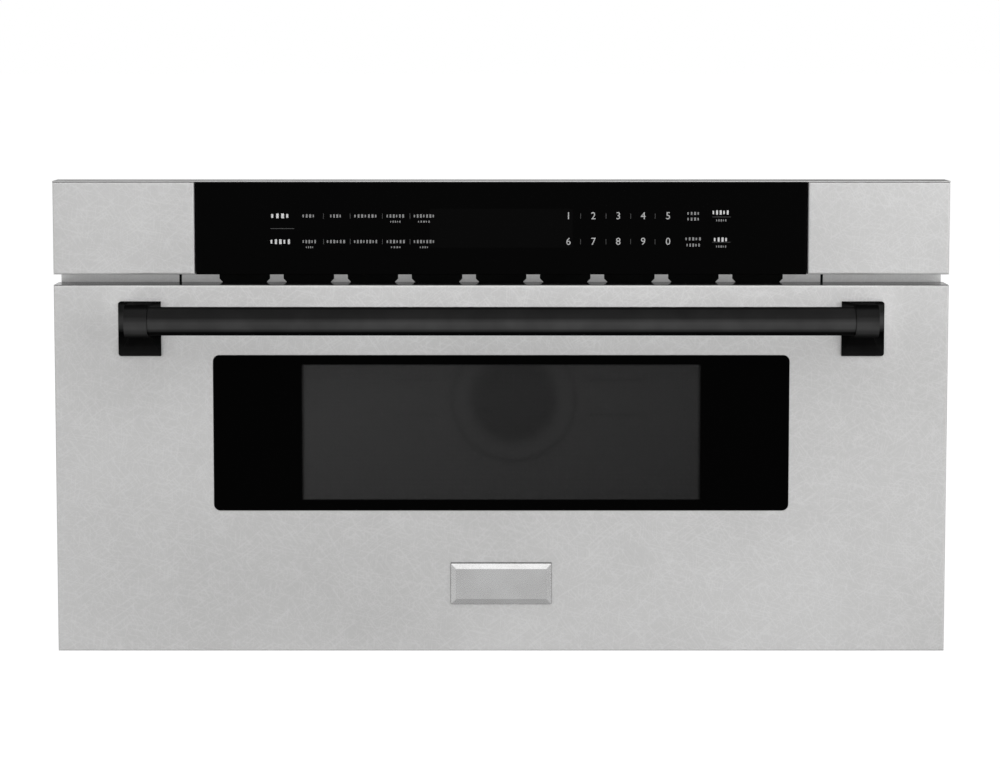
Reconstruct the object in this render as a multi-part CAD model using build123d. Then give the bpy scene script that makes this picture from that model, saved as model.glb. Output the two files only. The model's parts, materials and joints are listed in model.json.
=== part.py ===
from build123d import *
from math import atan, cos, pi, radians, sin, sqrt, tan
import os

# Built-in microwave drawer of the 30-inch class, drawer shut. All sizes in millimetres.
# X runs to the right seen from the front, Y runs back into the cabinet, Z runs up.
# The origin lies on the underside of the base pan, at the cabinet's face, on the centre line.

# ---------------------------------------------------------------- driving sizes

# Case that slides into the kitchen cut-out
case_width = 708.0
case_height = 371.0
machine_space = 119.0
case_sheet = 1.0
case_flange = 14.0
case_flange_gap = 1.0
intake_slot_length = 46.0
intake_slot_width = 6.0
intake_slot_rows = 8
intake_slot_spacing = 13.0
intake_slot_columns = 2
intake_column_spacing = 56.0
floor_slot_count = 6
floor_slot_spacing = 14.0
floor_slot_length = 70.0
floor_slot_width = 5.0

# Front frame on the cabinet's face
frame_sheet = 2.0
frame_inset = 2.0
frame_drop = 4.0
frame_top_inset = 2.5
frame_screw_radius = 2.75
frame_screw_outset = 12.0
frame_screw_spacing_z = 200.0
frame_screw_low_z = 60.0
wire_slot_length = 60.0
wire_slot_width = 12.0

# Drawer front and the reveal above it
front_side_lap = 26.0
band_lap = 62.0
front_depth = 32.0
front_drop = 6.0
shut_gap = 0.6
skin_sheet = 1.0
skin_bend = 1.8
reveal = 9.0

# Control band
band_height = 78.5
cheek_width = 120.0
band_joint = 1.2
glass_recess = 0.4
glass_thickness = 4.0
glass_edge = 0.4
housing_wall = 2.0
housing_inset = 0.6
board_margin_x = 34.0
board_margin_z = 9.0
board_thickness = 1.6
board_post_length = 7.0
board_post_size = 6.0
board_socket_length = 26.0
board_socket_height = 16.0
board_socket_depth = 7.0
display_width = 122.0
display_height = 34.0
display_gap = 0.3
trim_depth = 22.0
trim_sheet = 0.8

# Exhaust grille in the reveal and its duct
grille_end_strip = 26.45
grille_height = 33.2
grille_centre_above_drawer = 11.0
grille_joint = 2.2
grille_lap = 5.0
grille_lap_sheet = 1.2
grille_slot_count = 9
grille_slot_pitch = 55.1
grille_slot_length = 43.5
grille_slot_width = 10.0
grille_slot_rise = 4.0
grille_slot_chamfer = 4.0
duct_wall = 1.5
duct_length = 98.0
duct_height = 40.0
duct_snout_margin = 3.0

# Oven cavity
cavity_side_space = 124.0
cavity_low_z = 89.0
cavity_roof_space = 81.0
cavity_sheet = 1.0
cavity_corner = 8.0
cavity_flange = 5.0
steam_slot_count = 7
steam_slot_pitch = 13.0
steam_slot_length = 30.0
steam_slot_width = 3.0
steam_slot_inset = 70.0
steam_slot_y = 55.0
stand_inset = 30.0
stand_window_margin = 28.0
stand_sheet = 1.5
stand_window_width = 150.0

# Waveguide, stirrer and magnetron
stirrer_y = 200.0
dome_radius = 79.0
dome_hole_radius = 73.0
dome_sides = 8
guide_width = 88.0
guide_height = 40.0
guide_sheet = 1.0
guide_overhang = 100.0
cover_radius = 83.0
cover_thickness = 1.5
stirrer_radius = 64.0
stirrer_blade_count = 5
stirrer_blade_width = 24.0
stirrer_blade_tilt = 18.0
stirrer_sheet = 1.2
stirrer_drop = 4.0
stirrer_hub_height = 8.0
stirrer_root_share = 0.8
stirrer_tip_chamfer = 6.0
stirrer_shaft_bore_gap = 0.5
stirrer_motor_roof = 4.0
stirrer_shaft_end_gap = 1.0
stirrer_hub_radius = 11.0
stirrer_shaft_radius = 3.0
stirrer_motor_radius = 24.0
stirrer_motor_height = 14.0
stirrer_ear_reach = 9.0
stirrer_ear_width = 13.0
stirrer_ear_sheet = 1.2
stirrer_plug_size = 16.0
magnetron_behind_cavity = 50.0
yoke_width = 84.0
yoke_depth = 60.0
yoke_height = 78.0
yoke_sheet = 1.6
magnet_radius = 28.0
magnet_height = 12.0
anode_radius = 19.0
fin_count = 5
fin_thickness = 0.8
fin_margin = 1.2
antenna_radius = 7.5
antenna_clearance = 2.0
round_sides = 12
can_sides = 24
antenna_height = 26.0
filter_box_width = 68.0
filter_box_height = 30.0
filter_box_inset = 3.0
filter_plug_size = 24.0
filter_plug_height = 14.0
filter_plug_reach = 10.0

# Cooling fan
fan_x = 170.0
fan_z = 200.0
fan_radius = 54.0
fan_tip_gap = 3.0
fan_blade_count = 7
fan_blade_pitch = 32.0
fan_blade_root_chord = 17.0
fan_blade_tip_chord = 28.0
fan_hub_radius = 15.0
fan_wheel_length = 18.0
fan_blade_thickness = 1.6
fan_blade_root_share = 0.85
fan_shaft_radius = 2.5
fan_shaft_hole_gap = 0.5
shroud_size = 134.0
shroud_depth = 32.0
shroud_wall = 1.5
spider_disc_radius = 20.0
spider_arm_width = 8.0
fan_front_gap = 4.0
fan_motor_size = 38.0
fan_motor_length = 20.0
fan_shaft_depth = 12.0
fan_shaft_end_gap = 2.0
fan_coil_width = 30.0
fan_coil_reach = 16.0
fan_coil_length = 20.0
fan_coil_step = 2.0
guide_front_gap = 20.0

# High-voltage parts and mains entry
transformer_x = -205.0
transformer_width = 100.0
transformer_height = 80.0
transformer_stack = 56.0
core_window_width = 17.0
core_window_height = 46.0
core_leg_width = 25.0
winding_overhang = 18.0
winding_gap = 0.4
winding_corner = 8.0
winding_split = 3.0
winding_lower_share = 0.6
foot_plate_sheet = 1.5
foot_plate_lap = 10.0
foot_notch_width = 5.0
foot_notch_inset = 20.0
rear_clearance = 28.0
capacitor_x = -85.0
capacitor_width = 54.0
capacitor_thickness = 34.0
capacitor_height = 92.0
terminal_height = 9.0
terminal_width = 6.0
terminal_sheet = 1.0
terminal_spacing = 24.0
capacitor_tab_reach = 16.0
capacitor_tab_width = 14.0
filter_board_drop = 81.0
filter_board_width = 92.0
filter_board_height = 78.0
standoff_length = 10.0
standoff_size = 6.0
standoff_inset = 5.0
filter_coil_radius = 13.0
filter_coil_bore = 6.0
filter_coil_height = 11.0
filter_coil_place = (-22.0, 14.0)
filter_blocks = (((20.0, 16.0), (28.0, 14.0), 18.0), ((20.0, -8.0), (22.0, 10.0), 14.0),
                 ((-21.0, -20.0), (26.0, 8.0), 7.0))
gland_inset = 62.0
gland_below_top = 45.0
gland_bore_radius = 5.0
gland_body_radius = 9.0
gland_flange_radius = 15.0
gland_flange = 3.0
gland_nut = 5.0
gland_lip = 2.0
lamp_inset = 62.0
lamp_y = 190.0
lamp_box_size = 46.0
lamp_height = 44.0
lamp_wall = 1.0
lamp_flange = 7.0
bulb_radius = 9.0
bulb_length = 26.0
socket_radius = 7.0
socket_height = 8.0
lamp_hole_size = 4.0
lamp_hole_pitch = 9.0
lamp_hole_rows = 3

# Drawer front build-up
window_width = 489.5
window_height = 132.6
window_below_top = 126.5
window_corner = 5.0
window_gap = 0.6
window_recess = 0.3
window_thickness = 4.0
window_lip = 3.0
view_width = 339.0
view_height = 115.0
holder_lap = 10.0
holder_thickness = 4.0
holder_gap = 0.2
inner_sheet = 1.2
inner_flange = 12.0
inner_view_width = 380.0
inner_view_height = 140.0
inner_glass_lap = 10.0
inner_glass_thickness = 3.2
screen_sheet = 0.8
choke_inset = 2.0
choke_width = 14.0
choke_depth = 16.0
choke_cover_sheet = 0.8
choke_cover_gap = 0.2

# Badge plate, handle
badge_width = 86.0
badge_height = 35.0
badge_centre_z = 52.6
badge_base = 1.2
badge_bevel_depth = 1.8
badge_bevel_width = 4.5
bar_radius = 11.0
bar_wall = 1.5
bar_below_top = 25.6
bar_reach = 43.0
nose_radius = 11.8
nose_step = 6.0
nose_width = 19.0
bracket_inset = 55.0
bracket_width = 36.0
bracket_height = 46.4
bracket_foot = 3.0
bracket_sweep = 22.0
bracket_edge = 1.5
spigot_length = 12.0
spigot_gap = 0.1

# Tub
tub_side_gap = 7.5
tub_rear_gap = 20.1
tub_spare_depth = 44.0
tub_wall = 2.5
tub_floor_gap = 7.0
tub_top_gap = 11.0
tub_corner = 20.0
tub_floor_radius = 10.0
tub_flange = 5.0
tub_rim = 4.0
tray_thickness = 5.0
tray_gap = 4.0
tray_corner = 18.0

# Ball-bearing slides, one each side; u runs from the case towards the drawer, w runs up
drawer_travel = 381.0
slide_spare_length = 69.0
slide_setback = 5.0
slide_z = 125.0
arm_side_gap = 37.0
slide_sheet = 1.2
slide_half_height = 22.5
outer_flange = 9.5
web_gap = 0.8
middle_flange = 9.0
ball_radius = 1.6
ball_gap = 0.05
inner_flange_length = 7.7
inner_web_u = 11.5
cage_length = 220.0
cage_thickness = 1.0
cage_width = 5.0
cage_hole_gap = 0.15
balls_per_row = 2
arm_sheet = 2.0
arm_height = 46.0
arm_tab = 15.0
arm_slot_gap = 0.3
arm_tail_length = 40.0
cross_bar_depth = 20.0
cross_bar_sheet = 1.5
cross_bar_rear_gap = 5.5
cross_bar_top_gap = 2.0
slide_slot_gap = 4.3
bracket_sheet = 1.5
bracket_flange = 16.0
bracket_window_count = 3
bracket_window_share = 0.76
bracket_window_margin = 8.0

# Rack and pinion drive
gear_module = 3.0
pressure_angle = 20.0
gear_backlash = 0.2
pinion_teeth = 14
addendum_share = 0.8
dedendum_share = 1.0
pinion_width = 13.0
rack_width = 15.0
rack_inset = 77.5
rack_back_height = 7.4
rack_teeth_margin = 2.0
rack_slot_gap = 4.0
pinion_y = 35.0
pinion_z = 43.0
pinion_shaft_radius = 4.0
shaft_flat = 3.0
running_gap = 0.05
gearbox_size = 46.0
gearbox_length = 25.0
gearbox_corner = 6.0
motor_radius = 18.0
motor_length = 52.0
shaft_in_gearbox = 15.0
motor_bracket_sheet = 2.0
motor_bracket_gap = 3.0
motor_bracket_foot = 20.0
motor_bracket_margin = 2.0

# Door interlock
hook_side_gap = 20.5
hook_thickness = 3.0
hook_height = 14.0
hook_z = 229.0
hook_reach = 24.6
hook_slope = 7.0
hook_nose = 3.0
hook_notch_depth = 5.0
hook_notch_width = 12.0
hook_notch_slope = 4.0
hook_slot_gap_x = 2.5
hook_slot_gap_z = 7.0
switch_width = 10.0
switch_length = 20.0
switch_height = 18.0
plunger_size = 3.0
plunger_gap = 0.3
plunger_out = 0.9
plunger_length = 4.7
plunger_travel = 0.8
plunger_end_gap = 0.5
plunger_chamfer = 0.6
switch_holder_sheet = 2.0
switch_holder_height = 45.0
switch_holder_flange = 15.0

# ---------------------------------------------------------------- derived places

case_half = case_width / 2
front_width = case_width + 2 * front_side_lap
front_half = front_width / 2
frame_face_y = -frame_sheet
door_back_y = frame_face_y - shut_gap
door_face_y = door_back_y - front_depth
skin_inside_y = door_face_y + skin_sheet
skin_half = front_half - skin_sheet
inner_plate_y = door_back_y - inner_sheet
drawer_low_z = -front_drop
drawer_top_z = case_height - band_lap
band_low_z = drawer_top_z + reveal
band_top_z = band_low_z + band_height
frame_half = front_half - frame_inset
frame_top_z = band_top_z - frame_top_inset
frame_screw_spacing_x = case_width + 2 * frame_screw_outset
cheek_inner_x = front_half - cheek_width
control_half = cheek_inner_x - band_joint
glass_face_y = door_face_y + glass_recess
glass_back_y = glass_face_y + glass_thickness
grille_half = grille_slot_count * grille_slot_pitch / 2 + grille_end_strip
grille_z = drawer_top_z + grille_centre_above_drawer
grille_slot_z = drawer_top_z + grille_slot_rise
window_centre_z = drawer_top_z - window_below_top
window_face_y = door_face_y + window_recess
window_back_y = window_face_y + window_thickness
bar_y = door_face_y - bar_reach
bar_z = drawer_top_z - bar_below_top
bracket_inner_x = front_half - bracket_inset - bracket_width
nose_inner_x = bracket_inner_x + nose_step

cavity_half = case_half - cavity_side_space
cavity_high_z = case_height - cavity_roof_space
cavity_shell_half = cavity_half + cavity_sheet
cavity_under_z = cavity_low_z - cavity_sheet
cavity_roof_z = cavity_high_z + cavity_sheet
tub_half = cavity_half - tub_side_gap
tub_low_z = cavity_low_z + tub_floor_gap
tub_top_z = cavity_high_z - tub_top_gap
tub_floor_z = tub_low_z + tub_wall
tub_back_y = door_back_y + drawer_travel + tub_spare_depth + tub_wall
cavity_rear_y = tub_back_y + tub_rear_gap + cavity_sheet
case_depth = cavity_rear_y + machine_space
case_inside_rear_y = case_depth - case_sheet
steam_slot_x = steam_slot_inset - cavity_half
stand_half = cavity_half - stand_inset

guide_top_z = cavity_roof_z + guide_height
guide_rear_y = cavity_rear_y + guide_overhang
magnetron_y = cavity_rear_y + magnetron_behind_cavity
yoke_low_z = cavity_roof_z - yoke_height
lamp_x = cavity_half - lamp_inset
shroud_front_y = case_inside_rear_y - shroud_depth
shroud_half = shroud_size / 2
gland_x = gland_inset - case_half
gland_z = case_height - gland_below_top
filter_board_z = gland_z - filter_board_drop
transformer_y = case_inside_rear_y - rear_clearance - transformer_stack / 2
core_low_z = case_sheet + foot_plate_sheet
core_middle_z = core_low_z + transformer_height / 2
core_window_shift = (core_leg_width + core_window_width) / 2

ball_space = 2 * (ball_radius + ball_gap)
outer_race_w = slide_half_height - slide_sheet
middle_outer_w = outer_race_w - ball_space
middle_race_w = middle_outer_w - slide_sheet
inner_outer_w = middle_race_w - ball_space
outer_ball_w = (outer_race_w + middle_outer_w) / 2
inner_ball_w = (middle_race_w + inner_outer_w) / 2
middle_web_u = slide_sheet + web_gap
middle_edge_u = middle_web_u + middle_flange
inner_edge_u = inner_web_u + slide_sheet
inner_start_u = inner_edge_u - inner_flange_length
outer_ball_u = (middle_web_u + slide_sheet + outer_flange) / 2
inner_ball_u = (inner_start_u + middle_edge_u) / 2
arm_x = cavity_shell_half + arm_side_gap + arm_sheet
slide_x = arm_x + inner_edge_u
arm_low_z = slide_z - arm_height / 2
arm_top_z = slide_z + arm_height / 2
slide_front_y = slide_setback
slide_rear_y = slide_setback + drawer_travel + slide_spare_length
rack_end_y = cavity_rear_y - case_flange - stand_sheet - cross_bar_rear_gap
cross_bar_y = rack_end_y - arm_tail_length / 2

rack_x = cavity_half - rack_inset
tooth_pitch = pi * gear_module
tooth_addendum = addendum_share * gear_module
tooth_dedendum = dedendum_share * gear_module
pitch_radius = gear_module * pinion_teeth / 2
rack_root_z = pinion_z + pitch_radius + tooth_dedendum
rack_tip_z = pinion_z + pitch_radius - tooth_addendum
rack_top_z = rack_root_z + rack_back_height
pinion_low_x = rack_x - pinion_width / 2
gearbox_low_x = rack_x + rack_width / 2 + motor_bracket_gap + motor_bracket_sheet
shaft_end_x = gearbox_low_x + shaft_in_gearbox
hook_x = cavity_shell_half + hook_side_gap
hook_tip_y = door_back_y + hook_reach
plunger_tip_y = hook_tip_y + plunger_gap
switch_face_y = plunger_tip_y + plunger_out
switch_middle_x = hook_x + hook_thickness / 2


# ---------------------------------------------------------------- small builders

def block(x_span, y_span, z_span):
    # A plain block between two limits on each axis.
    spans = (x_span, y_span, z_span)
    size = [high - low for low, high in spans]
    middle = [(high + low) / 2 for low, high in spans]
    return Pos(*middle) * Box(*size)


def patch(x_span, y_span, corner=0.0):
    # A flat rectangle between two limits, with rounded corners where asked for.
    width = x_span[1] - x_span[0]
    height = y_span[1] - y_span[0]
    shape = RectangleRounded(width, height, corner) if corner > 0 else Rectangle(width, height)
    return Pos((x_span[0] + x_span[1]) / 2, (y_span[0] + y_span[1]) / 2) * shape


def front_slab(sketch, front_y, back_y):
    # A sketch in X and Z, made thick from front_y to back_y.
    plane = Plane(origin=(0, back_y, 0), x_dir=(1, 0, 0), z_dir=(0, -1, 0))
    return extrude(plane * sketch, amount=back_y - front_y)


def side_slab(sketch, low_x, high_x):
    # A sketch in Y and Z, made thick from low_x to high_x.
    plane = Plane(origin=(low_x, 0, 0), x_dir=(0, 1, 0), z_dir=(1, 0, 0))
    return extrude(plane * sketch, amount=high_x - low_x)


def floor_slab(sketch, low_z, high_z):
    # A sketch in X and Y, made thick from low_z to high_z.
    return extrude(Pos(0, 0, low_z) * sketch, amount=high_z - low_z)


def rod_x(radius, x_span, y, z):
    return side_slab(Pos(y, z) * Circle(radius), *x_span)


def rod_y(radius, y_span, x, z):
    return front_slab(Pos(x, z) * Circle(radius), *y_span)


def rod_z(radius, z_span, x, y):
    return floor_slab(Pos(x, y) * Circle(radius), *z_span)


def other_side(shape):
    return mirror(shape, about=Plane.YZ)


def both_sides(shape):
    return shape + other_side(shape)


def folded_pan(x_span, y_span, z_span, wall, bend):
    # A sheet pan: flat front, four bent returns, open at the rear.
    body = block(x_span, y_span, z_span)
    body = fillet(body.faces().sort_by(Axis.Y)[0].edges(), bend)
    return offset(body, amount=-wall, openings=body.faces().sort_by(Axis.Y)[-1])


def row_of(shape, count, pitch):
    # Copies side by side along the sketch's first axis, centred on its origin.
    return [Pos((n - (count - 1) / 2) * pitch, 0) * shape for n in range(count)]


# ---------------------------------------------------------------- case

def make_front_frame():
    face = patch((-frame_half, frame_half), (-frame_drop, frame_top_z))
    face -= patch((-cavity_half, cavity_half), (cavity_low_z, cavity_high_z), cavity_corner)
    grille_reach = grille_half + grille_joint
    grille_rise = grille_height / 2 + grille_joint
    face -= patch((-grille_reach, grille_reach), (grille_z - grille_rise, grille_z + grille_rise))
    slide_gap = slide_slot_gap
    slot_rise = slide_half_height + slide_gap
    slide_slot = patch((arm_x - arm_sheet - slide_gap, slide_x + slide_gap),
                       (slide_z - slot_rise, slide_z + slot_rise))
    hook_slot = patch((hook_x - hook_slot_gap_x, hook_x + hook_thickness + hook_slot_gap_x),
                      (hook_z - hook_height / 2 - hook_slot_gap_z,
                       hook_z + hook_height / 2 + hook_slot_gap_z))
    for cut in (slide_slot, hook_slot):
        face -= cut
        face -= other_side(cut)
    face -= patch((rack_x - rack_width / 2 - rack_slot_gap, rack_x + rack_width / 2 + rack_slot_gap),
                  (rack_tip_z - rack_slot_gap, rack_top_z + rack_slot_gap))
    face -= Pos(0, band_low_z + band_height / 2) * Rectangle(wire_slot_length, wire_slot_width)
    screw_z = frame_screw_low_z + frame_screw_spacing_z / 2
    screws = GridLocations(frame_screw_spacing_x, frame_screw_spacing_z, 2, 2)
    face -= [Pos(0, screw_z) * place * Circle(frame_screw_radius) for place in screws]
    return front_slab(face, frame_face_y, 0)


def make_base_pan():
    half = case_half - case_sheet
    section = Rectangle(2 * half, case_sheet, align=(Align.CENTER, Align.MIN))
    lip_height = case_sheet + case_flange
    lip = Pos(half, 0) * Rectangle(case_sheet, lip_height, align=(Align.MAX, Align.MIN))
    section = section + lip + Pos(-2 * half + case_sheet, 0) * lip
    pan = front_slab(section, 0, case_inside_rear_y)
    slots = row_of(Rectangle(floor_slot_width, floor_slot_length), floor_slot_count, floor_slot_spacing)
    under_fan = Pos(fan_x, case_inside_rear_y - floor_slot_length)
    return pan - [floor_slab(under_fan * slot, 0, case_sheet) for slot in slots]


def make_side_panel():
    # The right-hand one, with a bent flange that is screwed to the front frame.
    low = case_half - case_sheet
    sheet = block((low, case_half), (0, case_inside_rear_y), (0, case_height - case_sheet))
    flange_end = case_sheet + case_flange + case_flange_gap
    flange_z = (flange_end, case_height - flange_end)
    flange = block((low - case_flange, low), (0, case_sheet), flange_z)
    return sheet + flange


def make_cabinet_top():
    low = case_height - case_sheet
    sheet = block((-case_half, case_half), (0, case_inside_rear_y), (low, case_height))
    lip_x = (case_half - 2 * case_sheet, case_half - case_sheet)
    lip = block(lip_x, (2 * case_sheet, case_inside_rear_y), (low - case_flange, low))
    return sheet + both_sides(lip)


def make_rear_panel():
    sheet = patch((-case_half, case_half), (0, case_height))
    slots = GridLocations(intake_column_spacing, intake_slot_spacing, intake_slot_columns, intake_slot_rows)
    louvre = Rectangle(intake_slot_length, intake_slot_width)
    sheet -= [Pos(fan_x, fan_z) * place * louvre for place in slots]
    sheet -= Pos(gland_x, gland_z) * Circle(gland_body_radius)
    return front_slab(sheet, case_inside_rear_y, case_depth)


def make_cord_gland():
    # Hexagonal flange outside, faceted sleeve through the rear panel, hexagonal nut inside.
    place = Pos(gland_x, gland_z)
    hexagon = RegularPolygon(gland_flange_radius, 6)
    nut_front_y = case_inside_rear_y - gland_nut
    back_y = case_depth + gland_flange
    sleeve = place * RegularPolygon(gland_body_radius, round_sides)
    gland = front_slab(sleeve, nut_front_y - gland_lip, case_depth)
    gland += front_slab(place * hexagon, case_depth, back_y)
    gland += front_slab(place * hexagon, nut_front_y, case_inside_rear_y)
    return gland - rod_y(gland_bore_radius, (nut_front_y - gland_lip - 1, back_y + 1), gland_x, gland_z)


# ---------------------------------------------------------------- exhaust

def grille_slots():
    # Long slots with their corners cut off, between webs that widen downwards.
    slot = chamfer(Rectangle(grille_slot_length, grille_slot_width).vertices(), grille_slot_chamfer)
    row = row_of(slot, grille_slot_count, grille_slot_pitch)
    return [Pos(0, grille_slot_z) * slot for slot in row]


def make_exhaust_grille():
    half = grille_half
    rise = grille_height / 2
    plate = patch((-half, half), (grille_z - rise, grille_z + rise)) - grille_slots()
    lap = grille_joint + grille_lap
    backing = patch((-half - lap, half + lap), (grille_z - rise - lap, grille_z + rise + lap))
    backing -= patch((-half + lap, half - lap), (grille_z - rise + lap, grille_z + rise - lap))
    return front_slab(plate, frame_face_y, 0) + front_slab(backing, 0, grille_lap_sheet)


def make_exhaust_duct():
    # Flat duct behind the grille, open front and rear, with a snout over the steam slots.
    low = grille_z - grille_height / 2 - grille_joint - grille_lap
    half = grille_half
    y_span = (grille_lap_sheet, grille_lap_sheet + duct_length)
    outer = block((-half, half), y_span, (low, low + duct_height))
    hollow = block((-half + duct_wall, half - duct_wall), (y_span[0] - 1, y_span[1] + 1),
                   (low + duct_wall, low + duct_height - duct_wall))
    snout_half = steam_slot_count * steam_slot_pitch / 2 + duct_wall
    snout_reach = steam_slot_length / 2 + duct_snout_margin
    snout_y = (steam_slot_y - snout_reach, steam_slot_y + snout_reach)
    snout_x = (steam_slot_x - snout_half, steam_slot_x + snout_half)
    snout = block(snout_x, snout_y, (cavity_roof_z, low + duct_wall))
    throat = block((snout_x[0] + duct_wall, snout_x[1] - duct_wall),
                   (snout_y[0] + duct_wall, snout_y[1] - duct_wall),
                   (cavity_roof_z - 1, low + duct_wall + 1))
    return outer - hollow + snout - throat


# ---------------------------------------------------------------- cavity and microwave feed

def dome_outline(radius):
    # The stirrer's place, an eight-sided outline with a flat towards each wall.
    return Pos(0, stirrer_y) * RegularPolygon(radius, dome_sides, rotation=180 / dome_sides)


def make_cavity_shell():
    outer = block((-cavity_shell_half, cavity_shell_half), (0, cavity_rear_y),
                  (cavity_under_z, cavity_roof_z))
    along = outer.edges().filter_by(Axis.Y)
    outer = fillet(along, cavity_corner + cavity_sheet)
    shell = offset(outer, amount=-cavity_sheet, openings=outer.faces().sort_by(Axis.Y)[0])
    reach = cavity_shell_half + cavity_flange
    rim = patch((-reach, reach), (cavity_under_z - cavity_flange, cavity_roof_z + cavity_flange))
    rim -= patch((-cavity_half, cavity_half), (cavity_low_z, cavity_high_z), cavity_corner)
    shell += front_slab(rim, 0, cavity_sheet)
    holes = [dome_outline(dome_hole_radius)]
    steam = row_of(Rectangle(steam_slot_width, steam_slot_length), steam_slot_count, steam_slot_pitch)
    holes += [Pos(steam_slot_x, steam_slot_y) * slot for slot in steam]
    lamp_grid = GridLocations(lamp_hole_pitch, lamp_hole_pitch, lamp_hole_rows, lamp_hole_rows)
    holes += [Pos(lamp_x, lamp_y) * place * Rectangle(lamp_hole_size, lamp_hole_size) for place in lamp_grid]
    return shell - [floor_slab(hole, cavity_high_z - 1, cavity_roof_z + 1) for hole in holes]


def make_cavity_stand():
    # A folded Z-plate that carries the rear of the cavity on the base pan.
    y_span = (cavity_rear_y - case_flange, cavity_rear_y)
    web = patch((-stand_half, stand_half), (case_sheet, cavity_under_z))
    window = Rectangle(stand_window_width, cavity_under_z - case_sheet - 2 * stand_window_margin)
    middle = (case_sheet + cavity_under_z) / 2
    web -= [Pos(side * stand_half / 2, middle) * window for side in (-1, 1)]
    stand = front_slab(web, y_span[0] - stand_sheet, y_span[0])
    for low in (case_sheet, cavity_under_z - stand_sheet):
        stand += block((-stand_half, stand_half), y_span, (low, low + stand_sheet))
    return stand


def guide_outline():
    straight = patch((-guide_width / 2, guide_width / 2), (stirrer_y, guide_rear_y))
    return straight + dome_outline(dome_radius)


def make_waveguide():
    outer = floor_slab(guide_outline(), cavity_roof_z, guide_top_z)
    inside = offset(guide_outline(), amount=-guide_sheet, kind=Kind.INTERSECTION)
    outer -= floor_slab(inside, cavity_roof_z + guide_sheet, guide_top_z - guide_sheet)
    port = Pos(0, magnetron_y) * RegularPolygon(antenna_radius + antenna_clearance, round_sides)
    for hole in (dome_outline(dome_hole_radius), port):
        outer -= floor_slab(hole, cavity_roof_z - 1, cavity_roof_z + 2)
    bore = stirrer_shaft_radius + stirrer_shaft_bore_gap
    return outer - rod_z(bore, (guide_top_z - 2, guide_top_z + 1), 0, stirrer_y)


def make_waveguide_cover():
    return floor_slab(dome_outline(cover_radius), cavity_high_z - cover_thickness, cavity_high_z)


def make_stirrer():
    # Sheet blades bent up and down round a hub on a long shaft.
    blade_z = cavity_roof_z + guide_height / 2 - stirrer_drop
    hub_outline = RegularPolygon(stirrer_hub_radius, 2 * stirrer_blade_count)
    hub = floor_slab(hub_outline, blade_z - stirrer_hub_height / 2, blade_z + stirrer_hub_height / 2)
    shaft_top = guide_top_z + stirrer_motor_height - stirrer_motor_roof - stirrer_shaft_end_gap
    rotor = hub + rod_z(stirrer_shaft_radius, (blade_z, shaft_top), 0, 0)
    root = stirrer_hub_radius * stirrer_root_share
    length = stirrer_radius - root - 1
    for n in range(stirrer_blade_count):
        tilt = stirrer_blade_tilt * (1 if n % 2 else -1)
        paddle = Box(length, stirrer_blade_width, stirrer_sheet)
        paddle = chamfer(paddle.edges().filter_by(Axis.Z).sort_by(Axis.X)[-2:], stirrer_tip_chamfer)
        blade = Pos(root + length / 2, 0, blade_z) * Rot(tilt, 0, 0) * paddle
        rotor += Rot(0, 0, n * 360 / stirrer_blade_count) * blade
    return Pos(0, stirrer_y, 0) * rotor


def make_stirrer_motor():
    # Flat round gearmotor with two screw ears and a plug for its leads.
    top = guide_top_z + stirrer_motor_height
    can = floor_slab(Pos(0, stirrer_y) * RegularPolygon(stirrer_motor_radius, can_sides), guide_top_z, top)
    reach = 2 * (stirrer_motor_radius + stirrer_ear_reach)
    ears = floor_slab(Rectangle(reach, stirrer_ear_width), guide_top_z, guide_top_z + stirrer_ear_sheet)
    half = stirrer_plug_size / 2
    plug = block((-half, half), (stirrer_motor_radius - half / 2, stirrer_motor_radius + half),
                 (guide_top_z, guide_top_z + half))
    can += Pos(0, stirrer_y, 0) * (ears + plug)
    bore = stirrer_shaft_radius + running_gap
    return can - rod_z(bore, (guide_top_z - 1, top - stirrer_motor_roof), 0, stirrer_y)


def make_magnetron_yoke():
    # Bent steel frame, ring magnets above and below, and the filter box with its plug under it.
    x_half = yoke_width / 2
    y_span = (magnetron_y - yoke_depth / 2, magnetron_y + yoke_depth / 2)
    inside_low = yoke_low_z + yoke_sheet
    inside_high = cavity_roof_z - yoke_sheet
    frame = patch((-x_half, x_half), (yoke_low_z, cavity_roof_z))
    frame -= patch((-x_half + yoke_sheet, x_half - yoke_sheet), (inside_low, inside_high))
    yoke = front_slab(frame, *y_span)
    magnet = Pos(0, magnetron_y) * RegularPolygon(magnet_radius, round_sides)
    for low in (inside_low, inside_high - magnet_height):
        yoke += floor_slab(magnet, low, low + magnet_height)
    box_half = filter_box_width / 2
    box_y = (y_span[0] + filter_box_inset, y_span[1] - filter_box_inset)
    yoke += block((-box_half, box_half), box_y, (yoke_low_z - filter_box_height, yoke_low_z))
    plug_z = yoke_low_z - filter_box_height / 2
    plug_y = (magnetron_y - filter_plug_size / 2, magnetron_y + filter_plug_size / 2)
    yoke += block((box_half, box_half + filter_plug_reach), plug_y,
                  (plug_z - filter_plug_height / 2, plug_z + filter_plug_height / 2))
    port = Pos(0, magnetron_y) * RegularPolygon(antenna_radius + antenna_clearance, round_sides)
    return yoke - floor_slab(port, inside_high - magnet_height - 1, cavity_roof_z + 1)


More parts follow.
